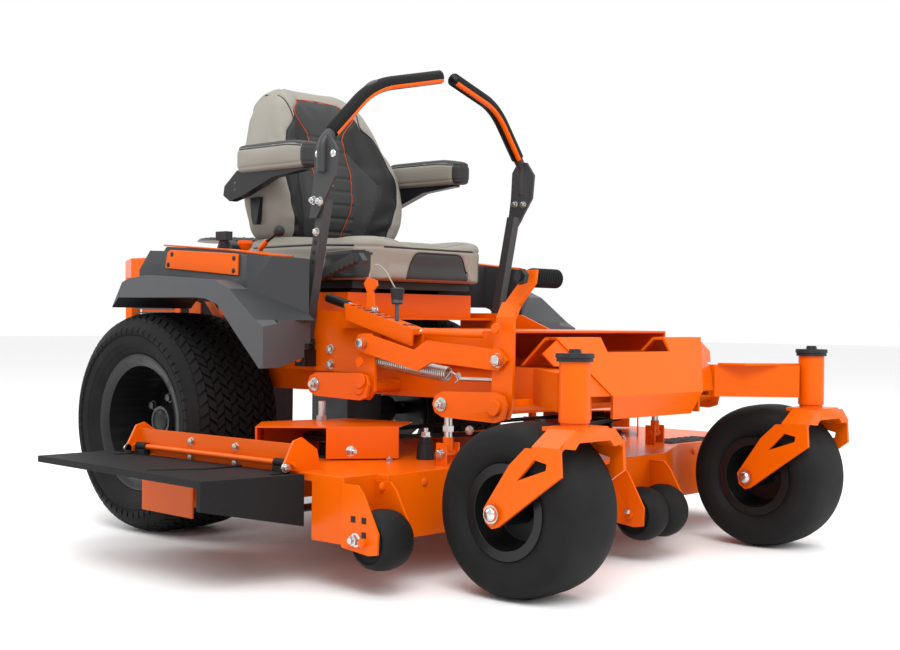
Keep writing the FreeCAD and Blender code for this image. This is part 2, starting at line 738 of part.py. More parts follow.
def build_deck_shell():
    """Pressed and welded cutting deck, open below and open to the chute."""
    shell = new_body("deck_pan")
    outline = [
        (-700, -430), (-700, -924), (-606, -924), (-606, -950), (-300, -950), (-80, -1062),
        (200, -1062), (430, -950), (746, -950), (746, -924), (840, -924), (840, -400),
        (770, -322), (-575, -322),
        (-600, -235), (-690, -235),
    ]
    bottom = dim("deck_bottom")
    height = dim("deck_top") - bottom
    block = pad(shell, "XY_Plane", bottom, [outline], height)
    doc.recompute()
    faces = []
    for number, face in enumerate(block.Shape.Faces, start=1):
        if face.normalAt(0, 0).z < -0.9:
            faces.append("Face%d" % number)
    skin = shell.newObject("PartDesign::Thickness", "deck_skin")
    skin.Base = (block, faces)
    skin.Value = value(dim("deck_plate"))
    bind(skin, "Value", dim("deck_plate"))
    skin.Reversed = True
    skin.Mode = 0
    skin.Join = 1
    shell.Tip = skin
    pocket(shell, "YZ_Plane", -720, [rectangle(-830, 80, -440, 212)], 60, True)
    holes = [(x, y, 40) for x, y in spindle_centres().values()]
    pocket(shell, "XY_Plane", 200, [], 60, True, circles=holes)
    finish("deck_shell", shell)


def build_belt_covers():
    """Folded covers over the two outer drive pulleys, open where the belt enters."""
    plan = [(-625, -560), (-515, -668), (-385, -760), (-255, -674), (-300, -500), (-520, -455)]
    inside = [
        (-512.7, -664.7), (-382.7, -756.7), (-375, -775), (-230, -690), (-280, -503.9),
        (-300.8, -503.9), (-519, -461), (-622, -563), (-640, -577), (-533, -684),
    ]
    deck_middle = dim("deck_centre_x")
    covers = []
    for tag in ("right", "left"):
        cover = new_body("belt_cover_" + tag)
        if tag == "left":
            plan = [(deck_middle * 2 - u, v) for u, v in plan]
            inside = [(deck_middle * 2 - u, v) for u, v in inside]
        pad(cover, "XY_Plane", 231, [plan], 70)
        pocket(cover, "XY_Plane", 230, [inside], 68, True)
        covers.append(cover)
    pocket(covers[0], "XY_Plane", 280, [], 40, True,
           circles=[(-dim("hanger_x"), dim("lift_rear_y") + dim("lift_arm"), 15)])
    finish("belt_covers", group("belt_cover_pair", covers))


def deck_hanger(tag, x, y):
    """A deck lug with its adjusting rod up to the lift arm."""
    base = box("lug_base_" + tag, x - 22, y - 14, dim("deck_top"), 44, 28, 4)
    near = box("lug_near_" + tag, x - 22, y - 14, dim("deck_top"), 5, 28, 48)
    far = box("lug_far_" + tag, x + 17, y - 14, dim("deck_top"), 5, 28, 48)
    pin = cylinder("lug_pin_" + tag, "x", x - 28, y, 254, 8, 56)
    rod = cylinder("lug_rod_" + tag, "z", x, y, 250, 8, 96)
    collar = cylinder("lug_collar_" + tag, "z", x, y, 258, 11, 30)
    return fuse("hanger_" + tag, [base, near, far, pin, rod, collar])


def roller_bracket(tag, x, y, half_gap, wall_y):
    """Two cheek plates from the deck wall, with the roller's axle bolt across them."""
    cheeks = []
    for number, sign in enumerate((-1, 1)):
        cheek = new_body("cheek_%s_%d" % (tag, number))
        outline = [(wall_y, 216), (wall_y, 92), (y - 10, 84), (y - 34, 88), (y - 36, 128),
                   (y + 6, 200), (y + 22, 216)]
        offset = x + sign * half_gap if sign < 0 else x + half_gap - 5
        pad(cheek, "YZ_Plane", offset, [outline], 5)
        cheeks.append(cheek)
    axle = cylinder("roller_axle_" + tag, "x", x - half_gap - 10, y, dim("roller_axle_z"),
                    dim("roller_axle_radius"), 2 * half_gap + 20)
    return fuse("bracket_" + tag, cheeks + [axle])


ROLLERS = {
    "right": (-658.5, -990, 47, -924, 1),
    "centre": (60, -1124, 84, -1062, 2),
    "left": (798.5, -990, 47, -924, 1),
}


def build_deck_brackets():
    """Everything bolted on the deck shell: hangers, roller brackets, spindle housings."""
    pieces = []
    for y_tag in ("front", "rear"):
        y = dim("lift_%s_y" % y_tag) + dim("lift_arm")
        pieces.append(deck_hanger(y_tag + "_right", -dim("hanger_x"), y))
        pieces.append(deck_hanger(y_tag + "_left", dim("hanger_x"), y))
    for tag, (x, y, half_gap, wall_y, _count) in ROLLERS.items():
        pieces.append(roller_bracket(tag, x, y, half_gap, wall_y))
    pieces.append(chute_bracket())
    for tag, (x, y) in spindle_centres().items():
        plate = cylinder("housing_plate_" + tag, "z", x, y, dim("deck_top"), 62, 6)
        barrel = cylinder("housing_barrel_" + tag, "z", x, y, 150, 34, 106)
        solid = fuse("housing_solid_" + tag, [plate, barrel])
        bore = cylinder("housing_bore_" + tag, "z", x, y, 140,
                        dim("spindle_radius") + dim("running_gap"), 130)
        pieces.append(cut("housing_" + tag, solid, bore))
    finish("deck_brackets", group("deck_bracket_pieces", pieces))


def chute_bracket():
    """Hinge angle of the discharge chute with its two ears and hinge pin."""
    web = box("hinge_web", -706, -788, 231, 6, 547, 52)
    foot = box("hinge_foot", -706, -788, 228, 60, 547, 4)
    ears = []
    for number, y in enumerate((-790, -245)):
        ear = new_body("hinge_ear_%d" % number)
        outline = [(-742, 236), (-700, 228), (-640, 228), (-650, 270), (-690, 296), (-712, 290)]
        pad(ear, "XZ_Plane", -y - 6, [outline], 6)
        ears.append(ear)
    pin = cylinder("hinge_pin", "y", dim("chute_hinge_x"), -800, dim("chute_hinge_z"),
                   dim("chute_pin_radius"), 572)
    return fuse("hinge_fused", [web, foot, pin] + ears)


def build_chute():
    """Rubber-plastic discharge chute: thick plate, folded front skirt, hinge knuckles."""
    plate = new_body("chute_plate")
    plan = [(-712, -232), (-730, -150), (-906, -150), (-942, -788), (-712, -822)]
    pad(plate, "XY_Plane", 212, [plan], 14)
    sections = []
    for x, y, low in ((-942, -788, 168), (-712, -822, 122)):
        sections.append([Vector(x, y, 226), Vector(x, y + 12, 226), Vector(x, y + 12, low),
                         Vector(x, y, low)])
    front = loft_sections("chute_skirt", sections)
    knuckles = []
    for number, y in enumerate((-774, -292)):
        barrel = cylinder("knuckle_%d" % number, "y", dim("chute_hinge_x"), y,
                          dim("chute_hinge_z"), 9, 36)
        tab = box("knuckle_tab_%d" % number, -725, y, 214, 16, 36, 24)
        knuckles += [barrel, tab]
    solid = fuse("chute_fused", [plate, front] + knuckles)
    rooms = [cylinder("chute_bore", "y", dim("chute_hinge_x"), -840, dim("chute_hinge_z"),
                      dim("chute_pin_radius") + dim("running_gap"), 640)]
    for number, y in enumerate((-796, -251)):
        rooms.append(box("ear_room_%d" % number, -770, y, 200, 80, 18, 40))
    finish("discharge_chute", cut("chute_drilled", solid, fuse("chute_rooms", rooms)))


def build_spindles_and_blades():
    """Three spindle shafts with pulleys, and the lift blades bolted under them."""
    for tag, (x, y) in spindle_centres().items():
        start = dim("blade_bottom") + dim("blade_thickness")
        shaft = cylinder("shaft_" + tag, "z", 0, 0, start, dim("spindle_radius"), 176)
        pulley = new_body("pulley_" + tag)
        low = dim("pulley_bottom")
        high = low + dim("pulley_height")
        radius = dim("pulley_radius")
        revolve(pulley, "XZ_Plane", [
            (0, low), (radius, low), (radius, low + 2), (radius - 9, low + 7),
            (radius - 9, high - 7), (radius, high - 2), (radius, high), (0, high)], "V_Axis")
        finish("spindle_" + tag, fuse("spindle_fused_" + tag, [shaft, pulley]), x, y, 0)
        blade = new_body("blade_bar_" + tag)
        reach = dim("blade_radius")
        width = dim("blade_width")
        low = dim("blade_bottom")
        bar = [
            (-reach + 8, -width / 2), (reach * 0.55, -width / 2), (reach * 0.6, -width * 0.42),
            (reach - 8, -width * 0.42), (reach - 8, width / 2), (-reach * 0.55, width / 2),
            (-reach * 0.6, width * 0.42), (-reach + 8, width * 0.42)]
        pad(blade, "XY_Plane", low, [bar], dim("blade_thickness"))
        for sign in (1, -1):
            sail = [(reach * 0.6 * sign, low + 4), ((reach - 8) * sign, low + 4),
                    ((reach - 8) * sign, low + 30), (reach * 0.68 * sign, low + 24)]
            offset = -width / 2 if sign > 0 else width / 2 - 6
            pad(blade, "XZ_Plane", offset, [sail], 6)
        finish("blade_" + tag, blade, x, y, 0)


def build_deck_belt():
    """Flat loop of the deck drive belt, just clear of the three pulleys."""
    low = value(dim("pulley_bottom")) + 4
    radius = value(dim("pulley_radius")) + 0.6
    centres = [Vector(value(x), value(y), low) for x, y in spindle_centres().values()]
    hulls = []
    for grow in (0, 8):
        faces = [Part.Face(Part.Wire(Part.makeCircle(radius + grow, centre))) for centre in centres]
        for index in range(3):
            a = centres[index]
            b = centres[(index + 1) % 3]
            side = (b - a).cross(Vector(0, 0, 1)).normalize() * (radius + grow)
            faces.append(Part.Face(Part.makePolygon([a + side, b + side, b - side, a - side, a + side])))
        faces.append(Part.Face(Part.makePolygon(centres + [centres[0]])))
        slabs = [face.extrude(Vector(0, 0, 10)) for face in faces]
        hulls.append(slabs[0].multiFuse(slabs[1:]).removeSplitter())
    item = doc.addObject("Part::Feature", "belt_loop")
    item.Shape = hulls[1].cut(hulls[0]).removeSplitter()
    finish("deck_belt", item)


def build_rollers():
    """Anti-scalp rollers at the front edge of the deck."""
    for tag, (x, y, half_gap, _wall_y, count) in ROLLERS.items():
        room = 2 * half_gap - 10 - 1.2
        width = (room - 4 * (count - 1)) / count
        wheels = []
        for number in range(count):
            roller = new_body("roller_%s_%d" % (tag, number))
            radius = dim("roller_radius")
            bore = dim("roller_axle_radius") + dim("running_gap")
            centre = (number - (count - 1) / 2) * (width + 4)
            half = width / 2
            revolve(roller, "XZ_Plane", [
                (centre - half, bore), (centre + half, bore), (centre + half, 20),
                (centre + half - 8, 24), (centre + half - 8, 42), (centre + half - 1, 46),
                (centre + half, radius - 8), (centre + half - 7, radius),
                (centre - half + 7, radius), (centre - half, radius - 8),
                (centre - half + 1, 46), (centre - half + 8, 42), (centre - half + 8, 24),
                (centre - half, 20)], "H_Axis")
            wheels.append(roller)
        item = wheels[0] if count == 1 else group("rollers_" + tag, wheels)
        finish("roller_" + tag, item, x, y, dim("roller_axle_z"))


# -------------------------------------------------------------- deck lift

def lift_arm_plate(name, pivot_y, pivot_z):
    """Rounded arm from the lift shaft back to the hanger rod."""
    arm = new_body(name)
    reach = dim("lift_arm")
    outline = [
        (pivot_y - 30, pivot_z + 6), (pivot_y - 22, pivot_z + 24), (pivot_y, pivot_z + 31),
        (pivot_y + reach, pivot_z + 27), (pivot_y + reach + 20, pivot_z + 18),
        (pivot_y + reach + 28, pivot_z), (pivot_y + reach + 20, pivot_z - 18),
        (pivot_y + reach, pivot_z - 27), (pivot_y, pivot_z - 31), (pivot_y - 22, pivot_z - 24)]
    pad(arm, "YZ_Plane", -dim("lift_plate_x") - 18, [outline], 8)
    return arm


def build_front_lift():
    """Foot pedal arm, front lift shaft and the two front lift arms, one weldment."""
    y = dim("lift_front_y")
    z = dim("lift_front_z")
    x = dim("lift_plate_x")
    shaft = cylinder("front_shaft", "x", -x - 18, y, z, dim("lift_shaft_radius"), (x + 18) * 2)
    arm = lift_arm_plate("front_arm_plate", y, z)
    pedal = new_body("pedal_lower")
    rise = dim("link_rise")
    outline = [
        (y - 30, z), (y - 20, z - 24), (y + 6, z - 26), (y + 26, z), (y + 24, z + rise),
        (y + 14, z + 186), (y - 32, z + 186), (y - 32, z + rise)]
    pad(pedal, "YZ_Plane", -x, [outline], 8)
    jog = new_body("pedal_jog")
    pad(jog, "XZ_Plane", 1042, [[(-388, 536), (-380, 536), (-362, 566), (-362, 574), (-370, 574),
                                 (-388, 544)]], 46)
    upper = new_body("pedal_upper")
    pad(upper, "YZ_Plane", -370, [[(-1042, 566), (-1088, 566), (-1128, 612), (-1132, 640),
                                   (-1092, 640), (-1088, 616)]], 8)
    boss = cylinder("pedal_boss", "x", -x - 22, y, z, 17, 8)
    finish("front_lift", fuse("front_lift_fused", [
        shaft, arm, mirror("front_arm_left", arm), pedal, jog, upper, boss]))
    peg = cylinder("peg_rubber", "x", -361.6, -1110, 624, 16, 88)
    flange = cylinder("peg_flange", "x", -361.6, -1110, 624, 19, 5)
    finish("pedal_peg", fuse("peg_fused", [peg, flange]))


def build_rear_lift():
    """Rear lift shaft with its bellcrank plate and the two rear lift arms."""
    y = dim("lift_rear_y")
    z = dim("lift_rear_z")
    x = dim("lift_plate_x")
    shaft = cylinder("rear_shaft", "x", -x - 18, y, z, dim("lift_shaft_radius"), (x + 18) * 2)
    arm = lift_arm_plate("rear_arm_plate", y, z)
    crank = new_body("bellcrank_plate")
    rise = dim("link_rise")
    pad(crank, "YZ_Plane", -x, [[
        (y - 30, z - 10), (y - 10, z - 30), (y + 14, z - 28), (y + 30, z), (y + 26, z + rise),
        (y + 10, z + rise + 22), (y - 14, z + rise + 22), (y - 28, z + rise)]], 8)
    boss = cylinder("crank_boss", "x", -x - 22, y, z, 17, 8)
    finish("rear_lift", fuse("rear_lift_fused", [
        shaft, arm, mirror("rear_arm_left", arm), crank, boss]))


def build_link_bar():
    """Cranked bar between the pedal arm and the bellcrank, with its two bolts."""
    front_y = dim("lift_front_y")
    front_z = dim("lift_front_z") + dim("link_rise")
    rear_y = dim("lift_rear_y")
    rear_z = dim("lift_rear_z") + dim("link_rise")
    bar = new_body("link_plate")
    pad(bar, "YZ_Plane", -dim("lift_plate_x") - 9, [[
        (rear_y + 26, rear_z), (rear_y + 16, rear_z + 20), (rear_y - 8, rear_z + 22),
        (-812, 470), (-852, 492), (front_y + 20, front_z + 22), (front_y, front_z + 24),
        (front_y - 24, front_z), (front_y, front_z - 22), (-868, 446), (-826, 426),
        (rear_y - 6, rear_z - 22), (rear_y + 18, rear_z - 18)]], 8)
    bolts = []
    for number, (y, z) in enumerate(((front_y, front_z), (rear_y, rear_z))):
        bolts.append(cylinder("link_bolt_%d" % number, "x", -dim("lift_plate_x") - 17, y, z, 13, 16.6))
    finish("lift_link", fuse("link_fused", [bar] + bolts))


def build_height_stop():
    """Perforated height-of-cut channel on the right, and its stop pin."""
    channel = new_body("height_channel_body")
    side = [(-560, 572), (-780, 516), (-776, 478), (-566, 534)]
    pad(channel, "YZ_Plane", -366, [side], 40)
    pocket(channel, "YZ_Plane", -360, [[(-540, 565), (-800, 498), (-800, 440), (-540, 520)]],
           28, True)
    holes = []
    for number in range(6):
        holes.append(cylinder("stop_hole_%d" % number, "z", -346, -600 - 28 * number, 480, 5, 140))
    perforated = cut("channel_perforated", channel, fuse("stop_holes", holes))
    stay = box("channel_stay", -337, -640, 515, 12, 120, 25)
    finish("height_channel", fuse("height_channel_fused", [perforated, stay]))
    shank = cylinder("stop_shank", "z", -346, -712, 494, 4.9, 84)
    head = cylinder("stop_head", "z", -346, -712, 573, 13, 34)
    finish("height_pin", fuse("height_pin_fused", [shank, head]))


def build_lift_spring():
    """Coil spring that carries part of the deck's weight."""
    start = Vector(-362, -716, 450)
    end = Vector(-362, -892, 425)
    axis = end - start
    coil_radius = 13
    wire_radius = 2.2
    pitch = 6.4
    helix = Part.makeHelix(pitch, axis.Length, coil_radius)
    section = Part.Wire(Part.Circle(Vector(coil_radius, 0, 0), Vector(0, 1, 0), wire_radius).toShape())
    shape = Part.Wire(helix.Edges).makePipeShell([section], True, True)
    item = doc.addObject("Part::Feature", "spring_coil")
    item.Shape = shape
    item.Placement = Placement(start, Rotation(Vector(0, 0, 1), axis))
    finish("lift_spring", item, start.x, start.y, start.z)


# --------------------------------------------------------------- controls

def build_control_levers():
    """Pivot yokes, posts, upper lever tubes with their brackets, and the grips."""
    x = -dim("lever_x")
    y = dim("lever_pivot_y")
    z = dim("lever_pivot_z")
    yoke_block = box("yoke_block", x - 18, y - 18, z - 18, 36, 36, 40)
    yoke_bore = cylinder("yoke_bore", "x", x - 30, y, z, dim("yoke_pin_radius") + dim("running_gap"), 60)
    drilled = cut("yoke_drilled", yoke_block, yoke_bore)
    pin = cylinder("swing_pin", "y", x, y - 30, z + 38, 6, 60)
    cheeks = box("yoke_cheek", x - 10, y + 14.5, z + 22, 20, 8, 26)
    cheek_front = box("yoke_cheek_front", x - 10, y - 22.5, z + 22, 20, 8, 26)
    right = finish("lever_yoke_right", fuse("yoke_fused", [drilled, cheeks, cheek_front, pin]))
    finish_left("lever_yoke_left", right)
    post = new_body("post_bar")
    lean = [(-412, 465.5), (-388, 465.5), (-388, 492), (-455, 818), (-480, 818), (-413, 492)]
    pad(post, "YZ_Plane", x - dim("post_size") / 2, [lean], dim("post_size"))
    post_bore = cylinder("post_bore", "y", x, y - 40, z + 38, 6.08, 80)
    right = finish("lever_post_right", cut("post_drilled", post, post_bore))
    finish_left("lever_post_left", right)
    plate = new_body("lever_plate")
    outline = [(-432, 774), (-456, 774), (-520, 868), (-526, 930), (-500, 966), (-470, 968),
               (-450, 940), (-446, 868)]
    pad(plate, "YZ_Plane", x - 20, [outline], 7, False)
    path = [Vector(-366, -478, 880), Vector(-366, -478, 950), Vector(-225, -498, 1099),
            Vector(-23, -534, 1143)]
    tube = bent_tube("lever_tube_bend", path, 45, value(dim("lever_tube_radius")))
    right = finish("lever_tube_right", fuse("lever_tube_fused", [plate, tube]))
    finish_left("lever_tube_left", right)
    run = (path[2] - path[1]).normalize()
    grip_path = [path[1] + run * 35, path[2], path[3] + (path[3] - path[2]).normalize() * 6]
    grip = bent_tube("grip_bend", grip_path, 45, value(dim("grip_radius")),
                     value(dim("lever_tube_radius")) + 0.1)
    right = finish("lever_grip_right", grip)
    finish_left("lever_grip_left", right)


def build_console_controls():
    """Throttle lever, blade switch knob and ignition key on the right console."""
    stalk = bent_tube("throttle_stalk", [
        Vector(-372, -260, 703), Vector(-372, -285, 722), Vector(-366, -318, 742)], 20, 4)
    ball = doc.addObject("Part::Sphere", "throttle_ball")
    ball.Radius = 14
    place(ball, -365, -325, 747)
    finish("throttle_lever", fuse("throttle_fused", [stalk, ball]))
    stem = cylinder("pto_stem", "z", -372, -205, 702, 7, 20)
    knob = cylinder("pto_head", "z", -372, -205, 718, 19, 9)
    finish("pto_knob", fuse("pto_fused", [stem, knob]))
    barrel = cylinder("key_barrel", "z", -380, -130, 711.4, 14, 15)
    bow = box("key_bow", -382, -146, 726, 4, 32, 24)
    finish("ignition_key", fuse("key_fused", [barrel, bow]))


# ------------------------------------------------------------------- seat

def build_seat():
    """Seat shell and slides, cushion, backrest and the two folding armrests."""
    shell = new_body("seat_pan")
    pad(shell, "XY_Plane", 612, [rectangle(-215, -425, 215, 20)], 20)
    slides = [box("slide_%d" % number, x, -380, 602.4, 40, 340, 10)
              for number, x in enumerate((-180, 140))]
    back_stay = box("back_stay", -150, 0, 612, 300, 20, 114)
    finish("seat_base", fuse("seat_base_fused", [shell, back_stay] + slides))
    cushion = new_body("cushion_block")
    half = dim("seat_half_width")
    low = dim("seat_base_z")
    high = dim("seat_top_z")
    front = dim("seat_front_y")
    pad(cushion, "YZ_Plane", -half, [[
        (front + 30, low), (front, low + 30), (front, high - 30), (front + 25, high),
        (-120, high - 6), (-6, high - 6), (-6, low)]], half * 2)
    corner_y = front + 70
    for side in (1, -1):
        edge = half * side
        pocket(cushion, "XY_Plane", low - 5, [[
            (edge, corner_y), ((half - 20) * side, front + 25), ((half - 70) * side, front - 1),
            ((half + 1) * side, front - 1), ((half + 1) * side, corner_y)]], 130, True)
    finish("seat_cushion", cushion)
    back = new_body("back_block")
    half = dim("back_half_width")
    pad(back, "YZ_Plane", -half, [[
        (-150, high), (-170, 800), (-152, 930), (-70, 1110), (-15, 1152), (42, 1148),
        (62, 1100), (28, 930), (-2, 790), (-2, high)]], half * 2)
    fillet_edges(back, back.Tip, 60, lambda a, b: runs_back(a, b, 1109))
    finish("seat_back", back)
    x = -dim("armrest_x")
    width = dim("armrest_width")
    pad_body = new_body("armrest_block")
    pad(pad_body, "YZ_Plane", x - width / 2, [[
        (-335, 918), (-350, 938), (-342, 962), (-318, 972), (-88, 972), (-70, 955),
        (-70, 918)]], width)
    finish_left("armrest_pad_left", finish("armrest_pad_right", pad_body))
    bracket = new_body("armrest_bracket")
    pad(bracket, "YZ_Plane", x - 12, [[
        (-320, 918), (-320, 904), (-200, 892), (-80, 850), (-30, 840), (-4, 856),
        (-8, 880), (-60, 918)]], 24)
    boss = cylinder("armrest_boss", "x", x + 11, -20, 868, 14, 28)
    whole = fuse("armrest_fused", [bracket, boss])
    finish_left("armrest_arm_left", finish("armrest_arm_right", whole))


def runs_back(start, end, lowest):
    """An edge test: the edge runs from front to back and stays above a height."""
    across = abs(start.x - end.x)
    length = abs(start.y - end.y)
    return across < 0.01 and length > 5 and min(start.z, end.z) >= lowest


# ------------------------------------------------------------------ build

build_main_frame()
build_nose_cover()
build_floor_pan()
build_seat_platform()
build_fenders()
build_console_panels()
build_engine()
build_rear_guard()
build_transaxles()
build_rear_wheels()
build_caster_wheels()
build_caster_forks()
build_deck_shell()
build_belt_covers()
build_deck_brackets()
build_chute()
build_spindles_and_blades()
build_deck_belt()
build_rollers()
build_front_lift()
build_rear_lift()
build_link_bar()
build_height_stop()
build_lift_spring()
build_control_levers()
build_console_controls()
build_seat()
doc.recompute()

problems = []
for item in doc.Objects:
    if "Invalid" in item.State or "Error" in item.State:
        problems.append("%s: %s" % (item.Name, item.State))
for name, item in SUBPARTS.items():
    if item.Shape.isNull() or not item.Shape.isValid() or not item.Shape.Solids:
        problems.append("%s: no valid solid" % name)
if problems:
    raise RuntimeError("the model did not build: " + "; ".join(problems))

os.makedirs("parts", exist_ok=True)
for name, item in SUBPARTS.items():
    item.Shape.exportStep(os.path.join("parts", name + ".step"))
print("%d sub-parts written" % len(SUBPARTS))
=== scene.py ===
"""Looks of a riding zero turn mower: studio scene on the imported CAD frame."""
import json
import math

import bmesh
import bpy
from mathutils import Matrix, Vector
from mathutils.bvhtree import BVHTree


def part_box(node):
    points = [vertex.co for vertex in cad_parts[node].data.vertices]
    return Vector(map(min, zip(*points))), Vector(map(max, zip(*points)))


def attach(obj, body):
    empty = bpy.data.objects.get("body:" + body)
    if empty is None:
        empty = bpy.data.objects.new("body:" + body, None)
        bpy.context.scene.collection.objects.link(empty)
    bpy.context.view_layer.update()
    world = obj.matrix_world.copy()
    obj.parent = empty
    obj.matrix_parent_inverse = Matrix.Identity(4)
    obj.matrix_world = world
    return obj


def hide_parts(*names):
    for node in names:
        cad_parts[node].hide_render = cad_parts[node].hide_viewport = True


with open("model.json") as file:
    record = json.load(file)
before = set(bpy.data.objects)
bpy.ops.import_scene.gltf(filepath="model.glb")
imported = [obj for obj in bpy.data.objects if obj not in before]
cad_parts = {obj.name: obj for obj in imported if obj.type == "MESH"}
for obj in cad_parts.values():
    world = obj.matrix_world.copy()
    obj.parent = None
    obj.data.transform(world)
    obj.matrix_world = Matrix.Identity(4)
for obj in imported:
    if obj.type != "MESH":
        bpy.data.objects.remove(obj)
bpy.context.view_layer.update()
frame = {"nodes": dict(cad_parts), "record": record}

# Places are in millimetres in the machine's own frame: the rear axle stands at y = 0 and the
# middle plane at x = 0, with x to the machine's left and y to the rear.
MILLI = 0.001
tyre_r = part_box("rear_tyre_right")
tyre_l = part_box("rear_tyre_left")
SHIFT = Vector(((tyre_r[0].x + tyre_l[1].x) / 2, (tyre_r[0].y + tyre_r[1].y) / 2, 0))
RIGHT, LEFT = -1, 1
SIDES = (("right", RIGHT), ("left", LEFT))
UP, OUT = (0, 0, 1), (RIGHT, 0, 0)

# Driving dimensions that several pieces share.
REAR_WHEEL_X = 428.5
REAR_AXLE_Z = 274
CASTER_X = 458.6
CASTER_PIVOT_Y = -1301
CASTER_AXLE = (-1190, 170)
HANGER_X = 385
FRONT_HANGER_Y, REAR_HANGER_Y = -908, -507
DECK_TOP = 228
SPRING_X = -362


def mm(x, y, z):
    """A place in the machine's millimetres, in the frame's metres."""
    return SHIFT + Vector((x, y, z)) * MILLI


def in_mm(point):
    """A place in the frame's metres, in the machine's millimetres."""
    return (point - SHIFT) / MILLI


# ------------ materials

def material(name, shades, rough, metal=0.0, coat=0.0, grain=(400, 0.1), patch=7,
             cells=False, rough_spread=0.08, distance=0.0006, spec=0.25):
    """Two shades mixed by noise, uneven roughness, and a fine grain as bump."""
    mat = bpy.data.materials.new(name)
    mat.use_nodes = True
    tree = mat.node_tree
    shader = tree.nodes["Principled BSDF"]
    link, new = tree.links.new, tree.nodes.new
    where = new("ShaderNodeTexCoord").outputs["Object"]
    broad = new("ShaderNodeTexNoise")
    link(where, broad.inputs["Vector"])
    mix = new("ShaderNodeMix")
    mix.data_type = "RGBA"
    link(broad.outputs["Fac"], mix.inputs[0])
    link(mix.outputs[2], shader.inputs["Base Color"])
    spread = new("ShaderNodeMapRange")
    link(broad.outputs["Fac"], spread.inputs["Value"])
    link(spread.outputs["Result"], shader.inputs["Roughness"])
    if cells:
        fine = new("ShaderNodeTexVoronoi")
        height = fine.outputs["Distance"]
    else:
        fine = new("ShaderNodeTexNoise")
        fine.inputs["Detail"].default_value = 3
        height = fine.outputs["Fac"]
    link(where, fine.inputs["Vector"])
    bump = new("ShaderNodeBump")
    link(height, bump.inputs["Height"])
    link(bump.outputs["Normal"], shader.inputs["Normal"])
    for node, socket, value in (
            (broad, "Scale", patch), (broad, "Detail", 6), (mix, 6, (*shades[0], 1)),
            (mix, 7, (*shades[1], 1)), (spread, "To Min", rough - rough_spread),
            (spread, "To Max", rough + rough_spread), (fine, "Scale", grain[0]),
            (bump, "Strength", grain[1]), (bump, "Distance", distance),
            (shader, "Metallic", metal), (shader, "Coat Weight", coat),
            (shader, "Coat Roughness", 0.12), (shader, "Specular IOR Level", spec)):
        node.inputs[socket].default_value = value
    return mat


def pair(red, green, blue, drop=0.88):
    """A colour and its darker second shade."""
    return (red, green, blue), (red * drop, green * drop, blue * drop)


